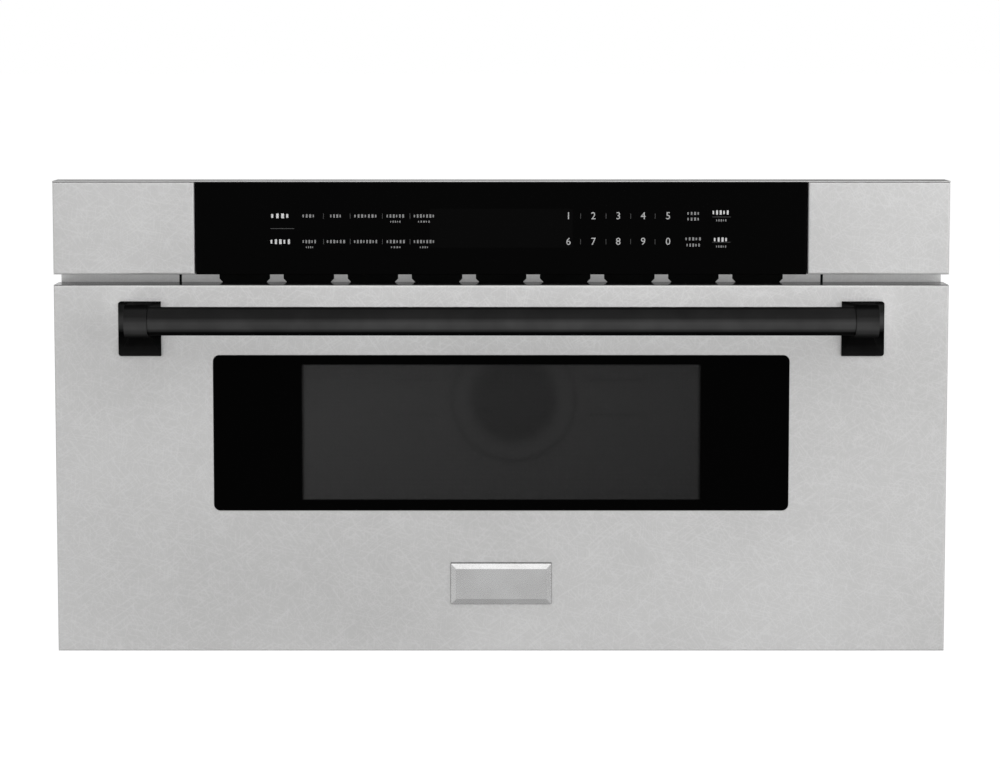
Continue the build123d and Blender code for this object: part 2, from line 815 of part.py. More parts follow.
def make_magnetron_tube():
    # Anode block in a stack of pressed cooling fins, with the antenna on top.
    low = yoke_low_z + yoke_sheet + magnet_height
    high = cavity_roof_z - yoke_sheet - magnet_height
    tube = floor_slab(Pos(0, magnetron_y) * RegularPolygon(anode_radius, round_sides), low, high)
    fin = Pos(0, magnetron_y) * Rectangle(yoke_width - 2 * yoke_sheet, yoke_depth - 2 * fin_margin)
    step = (high - low) / (fin_count + 1)
    for n in range(fin_count):
        z = low + (n + 1) * step
        tube += floor_slab(fin, z - fin_thickness / 2, z + fin_thickness / 2)
    antenna = Pos(0, magnetron_y) * RegularPolygon(antenna_radius, round_sides)
    return tube + floor_slab(antenna, high, cavity_roof_z + antenna_height)


def make_oven_lamp():
    # Folded box over the lamp holes, with a flange round its mouth and the bulb on its roof.
    top = cavity_roof_z + lamp_height
    place = Pos(lamp_x, lamp_y)
    wall = Rectangle(lamp_box_size, lamp_box_size)
    hollow = Rectangle(lamp_box_size - 2 * lamp_wall, lamp_box_size - 2 * lamp_wall)
    rim = Rectangle(lamp_box_size + 2 * lamp_flange, lamp_box_size + 2 * lamp_flange)
    lamp = floor_slab(place * wall, cavity_roof_z, top)
    lamp += floor_slab(place * rim, cavity_roof_z, cavity_roof_z + lamp_wall)
    lamp -= floor_slab(place * hollow, cavity_roof_z - 1, top - lamp_wall)
    lamp += floor_slab(place * RegularPolygon(bulb_radius, round_sides), top - bulb_length, top)
    return lamp + floor_slab(place * RegularPolygon(socket_radius, round_sides), top, top + socket_height)


# ---------------------------------------------------------------- cooling

def make_fan_shroud():
    # Box open to the rear panel, with a round mouth in its front and a three-armed motor spider.
    plate = Rectangle(shroud_size, shroud_size)
    rim = plate - Rectangle(shroud_size - 2 * shroud_wall, shroud_size - 2 * shroud_wall)
    mouth_radius = fan_radius + fan_tip_gap
    spider = RegularPolygon(spider_disc_radius, round_sides)
    arm = Pos(mouth_radius / 2 + 1, 0) * Rectangle(mouth_radius + 2, spider_arm_width)
    for n in range(3):
        spider += Rot(0, 0, 90 + n * 120) * arm
    place = Pos(fan_x, fan_z)
    mouth = RegularPolygon(mouth_radius, can_sides)
    front = place * (plate - mouth + spider - Circle(fan_shaft_radius + fan_shaft_hole_gap))
    shroud = front_slab(front, shroud_front_y, shroud_front_y + shroud_wall)
    return shroud + front_slab(place * rim, shroud_front_y, case_inside_rear_y)


def fan_blade():
    # Flat blade, wider at the tip, set at its pitch across the wheel's axis.
    root = fan_hub_radius * fan_blade_root_share
    tip = sqrt(fan_radius ** 2 - (fan_blade_tip_chord / 2) ** 2)
    outline = Polyline((root, -fan_blade_root_chord / 2), (tip, -fan_blade_tip_chord / 2),
                       (tip, fan_blade_tip_chord / 2), (root, fan_blade_root_chord / 2), close=True)
    blade = extrude(make_face(outline), amount=fan_blade_thickness / 2, both=True)
    return Rot(fan_blade_pitch, 0, 0) * blade


def make_fan_wheel():
    front_y = shroud_front_y + shroud_wall + fan_front_gap
    hub = RegularPolygon(fan_hub_radius, 2 * fan_blade_count)
    wheel = extrude(hub, amount=fan_wheel_length / 2, both=True)
    for n in range(fan_blade_count):
        wheel += Rot(0, 0, n * 360 / fan_blade_count) * fan_blade()
    turned = Rot(90, 0, 0) * wheel
    shaft = rod_y(fan_shaft_radius, (shroud_front_y - fan_shaft_depth, front_y + 2), fan_x, fan_z)
    return Pos(fan_x, front_y + fan_wheel_length / 2, fan_z) * turned + shaft


def make_fan_motor():
    # C-frame motor: a square stack of laminations with its coil on one side.
    half = fan_motor_size / 2
    stack_y = (shroud_front_y - fan_motor_length, shroud_front_y)
    motor = block((fan_x - half, fan_x + half), stack_y, (fan_z - half, fan_z + half))
    coil_y = (stack_y[0] - fan_coil_step, stack_y[0] - fan_coil_step + fan_coil_length)
    motor += block((fan_x - half - fan_coil_reach, fan_x - half), coil_y,
                   (fan_z - fan_coil_width / 2, fan_z + fan_coil_width / 2))
    bore_y = (shroud_front_y - fan_shaft_depth - fan_shaft_end_gap, shroud_front_y + 1)
    return motor - rod_y(fan_shaft_radius + running_gap, bore_y, fan_x, fan_z)


def make_air_guide():
    # Funnel that turns the fan's air across the magnetron's fins.
    left_x = yoke_width / 2 + 2
    roof = cavity_roof_z - 1
    outline = make_face(Polyline((left_x, yoke_low_z), (left_x, roof), (fan_x, roof),
                                 (fan_x + shroud_half, fan_z + shroud_half),
                                 (fan_x + shroud_half, fan_z - shroud_half),
                                 (fan_x - shroud_half, fan_z - shroud_half), close=True))
    front_y = cavity_rear_y + guide_front_gap
    inside = offset(outline, amount=-shroud_wall, kind=Kind.INTERSECTION)
    walls = front_slab(outline, front_y, shroud_front_y)
    walls -= front_slab(inside, front_y + shroud_wall, shroud_front_y + 1)
    return walls - block((left_x - 1, left_x + shroud_wall + 1), (front_y + shroud_wall, shroud_front_y + 1),
                         (yoke_low_z + shroud_wall, roof - shroud_wall))


# ---------------------------------------------------------------- high-voltage parts

def make_transformer_core():
    # Stacked laminations with two windows, on a foot plate with screw notches.
    stack = Rectangle(transformer_width, transformer_height)
    window = Rectangle(core_window_width, core_window_height)
    stack -= [Pos(side * core_window_shift, 0) * window for side in (-1, 1)]
    y_span = (transformer_y - transformer_stack / 2, transformer_y + transformer_stack / 2)
    core = front_slab(Pos(transformer_x, core_middle_z) * stack, *y_span)
    plate_width = transformer_width + 2 * foot_plate_lap
    plate = Rectangle(plate_width, transformer_stack)
    notches = GridLocations(plate_width, transformer_stack - foot_notch_inset, 2, 2)
    plate -= [place * Rectangle(foot_plate_lap, foot_notch_width) for place in notches]
    return core + floor_slab(Pos(transformer_x, transformer_y) * plate, case_sheet, core_low_z)


def make_transformer_windings():
    # Two square coils on the middle leg, filling the windows with a small gap.
    leg_half = core_leg_width / 2 + winding_gap
    outer_half = core_leg_width / 2 + core_window_width - winding_gap
    stack_half = transformer_stack / 2 + winding_gap
    outline = Rectangle(2 * outer_half, transformer_stack + 2 * winding_overhang)
    ring = chamfer(outline.vertices(), winding_corner) - Rectangle(2 * leg_half, 2 * stack_half)
    tall = core_window_height - 2 * winding_gap
    low = core_middle_z - tall / 2
    split = low + tall * winding_lower_share
    place = Pos(transformer_x, transformer_y)
    lower = floor_slab(place * ring, low, split - winding_split / 2)
    return lower + floor_slab(place * ring, split + winding_split / 2, low + tall)


def make_capacitor():
    # Obround can standing on the base pan, with a foot tab and two blade terminals.
    top = case_sheet + capacitor_height
    can = floor_slab(SlotOverall(capacitor_width, capacitor_thickness), case_sheet, top)
    half = capacitor_tab_width / 2
    tab_end = capacitor_width / 2 + capacitor_tab_reach
    can += block((0, tab_end), (-half, half), (case_sheet, case_sheet + foot_plate_sheet))
    for side in (-1, 1):
        x = side * terminal_spacing / 2
        can += block((x - terminal_width / 2, x + terminal_width / 2),
                     (-terminal_sheet / 2, terminal_sheet / 2), (top, top + terminal_height))
    return Pos(capacitor_x, transformer_y, 0) * can


def make_noise_filter():
    # Small board on four posts, with a ring coil, two block capacitors and a fuse.
    back_y = case_inside_rear_y - standoff_length
    front_y = back_y - board_thickness
    place = Pos(gland_x, filter_board_z)
    board = front_slab(place * Rectangle(filter_board_width, filter_board_height), front_y, back_y)
    inset = 2 * standoff_inset
    post = Rectangle(standoff_size, standoff_size)
    for corner in GridLocations(filter_board_width - inset, filter_board_height - inset, 2, 2):
        board += front_slab(place * corner * post, back_y, case_inside_rear_y)
    ring = RegularPolygon(filter_coil_radius, round_sides) - RegularPolygon(filter_coil_bore, round_sides)
    board += front_slab(place * Pos(*filter_coil_place) * ring, front_y - filter_coil_height, front_y)
    for middle, size, height in filter_blocks:
        board += front_slab(place * Pos(*middle) * Rectangle(*size), front_y - height, front_y)
    return board


# ---------------------------------------------------------------- control band

def make_cheek():
    # The right-hand one: a folded stainless box against the frame.
    return folded_pan((cheek_inner_x, front_half), (door_face_y, frame_face_y),
                      (band_low_z, band_top_z), skin_sheet, skin_bend)


def make_top_trim():
    y_span = (door_face_y, door_face_y + trim_depth)
    strip = block((-front_half, front_half), y_span, (band_top_z, band_top_z + trim_sheet))
    return fillet(strip.edges().filter_by(Axis.X).group_by(Axis.Y)[0].sort_by(Axis.Z)[-1:], trim_sheet * 0.7)


def make_control_glass():
    y_span = (glass_face_y, glass_back_y)
    pane = block((-control_half, control_half), y_span, (band_low_z, band_top_z))
    return chamfer(pane.faces().sort_by(Axis.Y)[0].edges(), glass_edge)


def make_control_housing():
    # Shallow moulded tray behind the glass, with posts for the board.
    half = control_half - housing_inset
    z_span = (band_low_z + housing_inset, band_top_z - housing_inset)
    tray = block((-half, half), (glass_back_y, frame_face_y), z_span)
    tray = offset(tray, amount=-housing_wall, openings=tray.faces().sort_by(Axis.Y)[0])
    floor_y = frame_face_y - housing_wall
    middle = (band_low_z + band_top_z) / 2
    post_rise = band_height - 2 * board_margin_z - 2 * board_post_size
    posts = GridLocations(half - board_margin_x - 2 * board_post_size, post_rise, 3, 2)
    for place in posts:
        post = Pos(0, middle) * place * Rectangle(board_post_size, board_post_size)
        tray += front_slab(post, floor_y - board_post_length, floor_y)
    cable = Pos(0, middle) * Rectangle(wire_slot_length, wire_slot_width)
    return tray - front_slab(cable, floor_y - 1, frame_face_y + 1)


def make_control_board():
    # Touch and display board; the display module stands forward to the glass.
    back_y = frame_face_y - housing_wall - board_post_length
    half = control_half - housing_inset - board_margin_x
    middle = (band_low_z + band_top_z) / 2
    rise = band_height / 2 - board_margin_z
    front_y = back_y - board_thickness
    board = block((-half, half), (front_y, back_y), (middle - rise, middle + rise))
    display_front_y = glass_back_y + display_gap
    board += block((-display_width / 2, display_width / 2), (display_front_y, front_y),
                   (middle - display_height / 2, middle + display_height / 2))
    socket_x = (display_width, display_width + board_socket_length)
    socket_z = (middle - board_socket_height / 2, middle + board_socket_height / 2)
    return board + block(socket_x, (front_y - board_socket_depth, front_y), socket_z)


# ---------------------------------------------------------------- drawer front

def window_patch(grow, corner):
    half = window_width / 2 + grow
    rise = window_height / 2 + grow
    return patch((-half, half), (window_centre_z - rise, window_centre_z + rise), corner)


def view_patch(width, height):
    return Pos(0, window_centre_z) * Rectangle(width, height)


def make_drawer_skin():
    # Folded stainless front with a lipped window.
    skin = folded_pan((-front_half, front_half), (door_face_y, door_back_y),
                      (drawer_low_z, drawer_top_z), skin_sheet, skin_bend)
    corner = window_corner + window_gap
    lip = window_patch(window_gap + skin_sheet, corner + skin_sheet)
    skin += front_slab(lip, skin_inside_y - skin_sheet / 2, skin_inside_y + window_lip)
    skin -= front_slab(window_patch(window_gap, corner), door_face_y - 1, skin_inside_y + window_lip + 1)
    return skin


def make_window_glass():
    pane = front_slab(window_patch(0, window_corner), window_face_y, window_back_y)
    return chamfer(pane.faces().sort_by(Axis.Y)[0].edges(), glass_edge)


def make_window_holder():
    # Moulded surround that clamps the glass in the lipped opening.
    back_y = window_back_y + holder_thickness
    holder = front_slab(window_patch(holder_lap, 0), skin_inside_y, back_y)
    step = window_gap + skin_sheet + holder_gap
    holder -= front_slab(window_patch(step, 0), skin_inside_y - 1, window_back_y)
    return holder - front_slab(view_patch(view_width, view_height), window_back_y - 1, back_y + 1)


def choke_patch(grow):
    # The cavity's mouth grown outwards, with folded square corners.
    half = cavity_half + choke_inset + grow
    rise = choke_inset + grow
    return patch((-half, half), (cavity_low_z - rise, cavity_high_z + rise))


def make_inner_frame():
    # Pressed inner panel: flanged rim, viewing opening, choke channel round the cavity's mouth.
    z_span = (drawer_low_z + skin_sheet, drawer_top_z - skin_sheet)
    rim = patch((-skin_half, skin_half), z_span)
    plate = front_slab(rim, inner_plate_y, door_back_y)
    inside = patch((-skin_half + inner_sheet, skin_half - inner_sheet),
                   (z_span[0] + inner_sheet, z_span[1] - inner_sheet))
    plate += front_slab(rim - inside, inner_plate_y - inner_flange, inner_plate_y)
    channel_y = door_back_y - choke_depth
    channel = choke_patch(choke_width + inner_sheet) - choke_patch(-inner_sheet)
    hollow = choke_patch(choke_width) - choke_patch(0)
    plate += front_slab(channel, channel_y, inner_plate_y)
    plate -= front_slab(hollow, channel_y + inner_sheet, door_back_y + 1)
    opening = view_patch(inner_view_width, inner_view_height)
    plate -= front_slab(opening, inner_plate_y - 1, door_back_y + 1)
    tab = patch((arm_x - arm_sheet - arm_slot_gap, arm_x + arm_slot_gap),
                (arm_low_z - arm_slot_gap, arm_top_z + arm_slot_gap))
    cut = front_slab(tab, inner_plate_y - 1, door_back_y + 1)
    return plate - cut - other_side(cut)


def make_choke_cover():
    ring = choke_patch(choke_width - choke_cover_gap) - choke_patch(choke_cover_gap)
    return front_slab(ring, door_back_y - choke_cover_sheet, door_back_y)


def inner_glass_patch():
    lap = 2 * inner_glass_lap
    return view_patch(inner_view_width + lap, inner_view_height + lap)


def make_inner_window():
    return front_slab(inner_glass_patch(), inner_plate_y - inner_glass_thickness, inner_plate_y)


def make_door_screen():
    back_y = inner_plate_y - inner_glass_thickness
    return front_slab(inner_glass_patch(), back_y - screen_sheet, back_y)


def make_badge_plate():
    # Blank plate whose four edges slope up to a raised middle.
    outline = Pos(0, badge_centre_z) * Rectangle(badge_width, badge_height)
    plate = front_slab(outline, door_face_y - badge_base - badge_bevel_depth, door_face_y)
    front = plate.faces().sort_by(Axis.Y)[0]
    return chamfer(front.edges(), badge_bevel_width, badge_bevel_depth, reference=front)


# ---------------------------------------------------------------- handle

def make_handle_bracket():
    # Cast corbel on the right: level top, round nose at the bar, concave sweeps to a wide foot.
    top = bar_z + nose_radius
    low = top - bracket_height
    foot_y = door_face_y - bracket_foot
    under = bar_z - nose_radius
    nose = Line((door_face_y, top), (bar_y, top))
    nose += ThreePointArc((bar_y, top), (bar_y - nose_radius, bar_z), (bar_y, under))
    nose += TangentArc((bar_y, under), (foot_y, low + bracket_edge), tangent=(1, 0))
    nose += Polyline((foot_y, low + bracket_edge), (foot_y, low), (door_face_y, low), (door_face_y, top))
    outer_x = bracket_inner_x + bracket_width
    side = side_slab(make_face(nose), bracket_inner_x, outer_x)
    nose_outer_x = nose_inner_x + nose_width
    waist_y = foot_y - bracket_sweep
    front_y = bar_y - nose_radius - 1
    plan = Polyline((bracket_inner_x, foot_y), (bracket_inner_x, door_face_y), (outer_x, door_face_y),
                    (outer_x, foot_y))
    plan += TangentArc((nose_outer_x, waist_y), (outer_x, foot_y), tangent=(0, 1))
    plan += Polyline((nose_outer_x, waist_y), (nose_outer_x, front_y), (nose_inner_x, front_y),
                     (nose_inner_x, waist_y))
    plan += TangentArc((nose_inner_x, waist_y), (bracket_inner_x, foot_y), tangent=(0, 1))
    bracket = side & floor_slab(make_face(plan), low, top)
    spigot_radius = bar_radius - bar_wall - spigot_gap
    spigot = Pos(bar_y, bar_z) * RegularPolygon(spigot_radius, round_sides)
    return bracket + side_slab(spigot, nose_inner_x - spigot_length, nose_inner_x)


def make_handle_bar():
    ring = Circle(bar_radius) - Circle(bar_radius - bar_wall)
    return side_slab(Pos(bar_y, bar_z) * ring, -nose_inner_x, nose_inner_x)


# ---------------------------------------------------------------- tub

def tub_body(inset):
    # The tub's outline drawn in by the inset, with round rear corners, and its floor's curved edges.
    front_y = door_back_y - inset
    body = block((-tub_half + inset, tub_half - inset), (front_y, tub_back_y - inset),
                 (tub_low_z + inset, tub_top_z + inset))
    rear = body.faces().sort_by(Axis.Y)[-1]
    body = fillet(rear.edges().filter_by(Axis.Z), tub_corner - inset)
    floor = body.faces().sort_by(Axis.Z)[0]
    return body, [edge for edge in floor.edges() if edge.center().Y > front_y + 1]


def make_tub():
    # Deep pan open at the top and towards the window, with a rolled rim and a front flange.
    # Its floor curves up into the walls inside, and is cut off at a slant outside.
    outer, outer_floor = tub_body(0)
    inner, inner_floor = tub_body(tub_wall)
    outer = chamfer(outer_floor, tub_floor_radius * (2 - sqrt(2)))
    tub = outer - fillet(inner_floor, tub_floor_radius - tub_wall)
    x_half = tub_half + tub_flange
    collar = patch((-x_half, x_half), (tub_low_z - tub_flange, tub_top_z), tub_flange)
    collar -= patch((-tub_half + tub_wall, tub_half - tub_wall), (tub_floor_z, tub_top_z + 1))
    tub += front_slab(collar, door_back_y, door_back_y + cavity_sheet)
    rim = patch((-tub_half - tub_rim, tub_half + tub_rim), (door_back_y, tub_back_y + tub_rim))
    inner = patch((-tub_half + tub_wall, tub_half - tub_wall), (door_back_y - 1, tub_back_y - tub_wall))
    rim = floor_slab(rim, tub_top_z - tub_wall, tub_top_z)
    rim = fillet(rim.edges().filter_by(Axis.Z).group_by(Axis.Y)[-1], tub_corner + tub_rim)
    hollow = floor_slab(inner, tub_top_z - tub_wall - 1, tub_top_z + 1)
    hollow = fillet(hollow.edges().filter_by(Axis.Z).group_by(Axis.Y)[-1], tub_corner - tub_wall)
    return tub + (rim - hollow)


def make_glass_tray():
    edge = tub_wall + tub_floor_radius + tray_gap / 2
    half = tub_half - edge
    outline = patch((-half, half), (door_back_y + tray_gap, tub_back_y - edge), tray_corner)
    return floor_slab(outline, tub_floor_z, tub_floor_z + tray_thickness)


# ---------------------------------------------------------------- slides

def slide_bar(u_span, w_span, y_span):
    # One straight strip of a slide member on the right-hand side, in the slide's own u and w.
    x_span = (slide_x - u_span[1], slide_x - u_span[0])
    return block(x_span, y_span, (slide_z + w_span[0], slide_z + w_span[1]))


def slide_channel(web_u, flange_u, outer_w):
    # Channel section: a web and two flanges over the whole length.
    y_span = (slide_front_y, slide_rear_y)
    inner_w = outer_w - slide_sheet
    member = slide_bar(web_u, (-outer_w, outer_w), y_span)
    for side in (-1, 1):
        w_span = sorted((side * inner_w, side * outer_w))
        member += slide_bar(flange_u, w_span, y_span)
    return member


def make_slide_outer():
    return slide_channel((0, slide_sheet), (0, outer_flange), slide_half_height)


def make_slide_middle():
    web_u = (middle_web_u, middle_web_u + slide_sheet)
    return slide_channel(web_u, (middle_web_u, middle_edge_u), middle_outer_w)


def make_slide_inner():
    return slide_channel((inner_web_u, inner_edge_u), (inner_start_u, inner_edge_u), inner_outer_w)


def faceted_ball(radius):
    # A ball drawn with 26 flat facets: a cube cut evenly along all its edges.
    cube = Box(2 * radius, 2 * radius, 2 * radius)
    return chamfer(cube.edges(), radius * (2 - sqrt(2)) * 0.99)


def make_ball_row(ball_u, ball_w):
    # Upper and lower strip of a cage with its balls, between two races.
    middle_y = (slide_front_y + slide_rear_y) / 2
    y_span = (middle_y - cage_length / 2, middle_y + cage_length / 2)
    u_span = (ball_u - cage_width / 2, ball_u + cage_width / 2)
    pitch = cage_length / balls_per_row
    row = []
    for side in (-1, 1):
        w = side * ball_w
        strip = slide_bar(u_span, (w - cage_thickness / 2, w + cage_thickness / 2), y_span)
        balls = []
        for n in range(balls_per_row):
            y = middle_y + (n - (balls_per_row - 1) / 2) * pitch
            x = slide_x - ball_u
            half = ball_radius + cage_hole_gap
            strip -= block((x - half, x + half), (y - half, y + half), (slide_z + w - 2, slide_z + w + 2))
            balls.append(Pos(x, y, slide_z + w) * faceted_ball(ball_radius))
        row += [strip] + balls
    mirrored = [other_side(piece) for piece in row]
    return Compound(children=row + mirrored)


def make_slide_bracket():
    # Right-hand web that carries the outer member, with a foot on the base pan.
    y_span = (slide_front_y + bracket_flange, slide_rear_y - slide_setback)
    web = patch(y_span, (case_sheet, slide_z + slide_half_height))
    window_low = case_sheet + bracket_sheet + bracket_window_margin
    window_high = slide_z - slide_half_height - bracket_window_margin
    length = (y_span[1] - y_span[0]) / bracket_window_count
    for n in range(bracket_window_count):
        start = y_span[0] + (n + (1 - bracket_window_share) / 2) * length
        web -= patch((start, start + length * bracket_window_share), (window_low, window_high))
    bracket = side_slab(web, slide_x, slide_x + bracket_sheet)
    foot_x = (slide_x + bracket_sheet, slide_x + bracket_sheet + bracket_flange)
    return bracket + block(foot_x, y_span, (case_sheet, case_sheet + bracket_sheet))


def make_drawer_arms():
    # Side plates screwed to the inner slide members, tied by a cross bar under the cavity.
    tail_y = (rack_end_y - arm_tail_length, rack_end_y)
    tab_y = inner_plate_y - arm_sheet
    outline = patch((tab_y, slide_rear_y), (arm_low_z, arm_top_z))
    outline += patch(tail_y, (rack_top_z, arm_low_z + 1))
    arm = side_slab(outline, arm_x - arm_sheet, arm_x)
    arm += block((arm_x, arm_x + arm_tab), (tab_y, inner_plate_y), (arm_low_z, arm_top_z))
    bar_top = cavity_under_z - cross_bar_top_gap
    bar_y_span = (cross_bar_y - cross_bar_depth / 2, cross_bar_y + cross_bar_depth / 2)
    bar_half = arm_x - arm_sheet
    bar = block((-bar_half, bar_half), bar_y_span, (rack_top_z, bar_top))
    hollow_y = (bar_y_span[0] + cross_bar_sheet, bar_y_span[1] - cross_bar_sheet)
    bar -= block((-bar_half - 1, bar_half + 1), hollow_y, (rack_top_z + cross_bar_sheet, bar_top + 1))
    return both_sides(arm) + bar


# ---------------------------------------------------------------- rack and pinion

def involute_angle(base_radius, radius):
    # How far an involute has turned, in radians, where it reaches the radius.
    roll = sqrt((radius / base_radius) ** 2 - 1)
    return roll - atan(roll)


def shaft_section():
    # Round shaft with one flat.
    width = 2 * pinion_shaft_radius
    return Circle(pinion_shaft_radius) - Pos(0, shaft_flat + width / 2) * Rectangle(width, width)


def make_drive_pinion():
    # Spur pinion with a tooth straight up; each flank is its foot and three points of its involute.
    base_radius = pitch_radius * cos(radians(pressure_angle))
    tip_radius = pitch_radius + tooth_addendum
    root_radius = pitch_radius - tooth_dedendum
    thickness = tooth_pitch / 2 - gear_backlash
    half_angle = thickness / 2 / pitch_radius + involute_angle(base_radius, pitch_radius)
    middle_radius = (base_radius + tip_radius) / 2
    flank = [(root_radius, half_angle)]
    for radius in (base_radius, middle_radius, tip_radius):
        flank.append((radius, half_angle - involute_angle(base_radius, radius)))
    tooth = [(radius, -angle) for radius, angle in flank] + list(reversed(flank))
    outline = []
    for n in range(pinion_teeth):
        turn = pi / 2 + 2 * pi * n / pinion_teeth
        outline += [(radius * cos(turn + angle), radius * sin(turn + angle)) for radius, angle in tooth]
    wheel = make_face(Polyline(*outline, close=True)) - shaft_section()
    return side_slab(Pos(pinion_y, pinion_z) * wheel, pinion_low_x, pinion_low_x + pinion_width)


def make_pinion_shaft():
    # Flat-sided inside the pinion, round in the gearbox.
    place = Pos(pinion_y, pinion_z)
    pinion_high_x = pinion_low_x + pinion_width
    shaft = side_slab(place * shaft_section(), pinion_low_x - 2, pinion_high_x)
    return shaft + side_slab(place * Circle(pinion_shaft_radius), pinion_high_x, shaft_end_x)


def make_drive_rack():
    # Straight rack, teeth down, with a tooth space over the pinion's top tooth.
    slope = tan(radians(pressure_angle))
    half_pitch = (tooth_pitch / 2 - gear_backlash) / 2
    tip_half = half_pitch - tooth_addendum * slope
    root_half = half_pitch + tooth_dedendum * slope
    x_span = (rack_x - rack_width / 2, rack_x + rack_width / 2)
    first = int((door_back_y + rack_teeth_margin + tooth_pitch - pinion_y) / tooth_pitch) + 1
    last = int((rack_end_y - rack_teeth_margin - pinion_y) / tooth_pitch) - 1
    outline = [(door_back_y, rack_top_z), (door_back_y, rack_root_z)]
    for n in range(first, last + 1):
        y = pinion_y + (n + 0.5) * tooth_pitch
        outline += [(y - root_half, rack_root_z), (y - tip_half, rack_tip_z)]
        outline += [(y + tip_half, rack_tip_z), (y + root_half, rack_root_z)]
    outline += [(rack_end_y, rack_root_z), (rack_end_y, rack_top_z)]
    return side_slab(make_face(Polyline(*outline, close=True)), *x_span)


def make_drive_motor():
    # Gearbox with the motor can on its far side.
    place = Pos(pinion_y, pinion_z)
    x_high = gearbox_low_x + gearbox_length
    box = side_slab(place * Rectangle(gearbox_size, gearbox_size), gearbox_low_x, x_high)
    box = chamfer(box.edges().filter_by(Axis.X), gearbox_corner)
    can = side_slab(place * RegularPolygon(motor_radius, can_sides), x_high, x_high + motor_length)
    bore = rod_x(pinion_shaft_radius + running_gap, (gearbox_low_x - 1, shaft_end_x + 1), pinion_y, pinion_z)
    return box + can - bore


def make_motor_bracket():
    # Upright plate between rack and gearbox, with a foot on the base pan.
    half = gearbox_size / 2 + motor_bracket_margin
    x_low = gearbox_low_x - motor_bracket_sheet
    face = patch((pinion_y - half, pinion_y + half), (case_sheet, pinion_z + gearbox_size / 2))
    face -= Pos(pinion_y, pinion_z) * RegularPolygon(2 * pinion_shaft_radius, 8)
    plate = side_slab(face, x_low, gearbox_low_x)
    foot = block((gearbox_low_x, gearbox_low_x + motor_bracket_foot), (pinion_y - half, pinion_y + half),
                 (case_sheet, case_sheet + motor_bracket_sheet))
    return plate + foot


# ---------------------------------------------------------------- door interlock

def make_latch_hooks():
    # Flat hooks on the drawer that reach through the frame to the switches.
    low = hook_z - hook_height / 2
    high = hook_z + hook_height / 2
    notch_end = hook_tip_y - hook_slope + hook_notch_slope / 2
    notch_start = notch_end - hook_notch_width
    notch_z = low + hook_notch_depth
    outline = Polyline((door_back_y, low), (door_back_y, high), (hook_tip_y - hook_slope, high),
                       (hook_tip_y, hook_z + hook_nose), (hook_tip_y, low), (notch_end, low),
                       (notch_end - hook_notch_slope, notch_z), (notch_start + hook_notch_slope / 2, notch_z),
                       (notch_start, low), close=True)
    hook = side_slab(make_face(outline), hook_x, hook_x + hook_thickness)
    return both_sides(hook)


def plunger_block(gap, y_span):
    # The square plunger's outline on the right-hand switch, grown by the gap.
    half = plunger_size / 2 + gap
    return block((switch_middle_x - half, switch_middle_x + half), y_span, (hook_z - half, hook_z + half))


def make_interlock_switches():
    # Snap switches with three terminals on angle brackets behind the frame, one each side.
    y_span = (switch_face_y, switch_face_y + switch_length)
    high_x = switch_middle_x + switch_width / 2
    z_span = (hook_z - switch_height / 2, hook_z + switch_height / 2)
    body = block((high_x - switch_width, high_x), y_span, z_span)
    bore_depth = plunger_length - plunger_out + plunger_travel + plunger_end_gap
    body -= plunger_block(running_gap, (y_span[0] - 1, y_span[0] + bore_depth))
    for n in (-1, 0, 1):
        z = hook_z + n * switch_height / 3
        body += block((switch_middle_x - terminal_width / 2, switch_middle_x + terminal_width / 2),
                      (y_span[1], y_span[1] + terminal_height),
                      (z - terminal_sheet / 2, z + terminal_sheet / 2))
    holder_x = (high_x, high_x + switch_holder_sheet)
    holder_z = (hook_z - switch_holder_height / 2, hook_z + switch_holder_height / 2)
    body += block(holder_x, (0, y_span[1]), holder_z)
    body += block((holder_x[1], holder_x[1] + switch_holder_flange), (0, switch_holder_sheet), holder_z)
    return both_sides(body)


def make_switch_plungers():
    pin = plunger_block(0, (plunger_tip_y, plunger_tip_y + plunger_length))
    return both_sides(chamfer(pin.faces().sort_by(Axis.Y)[0].edges(), plunger_chamfer))


# ---------------------------------------------------------------- files

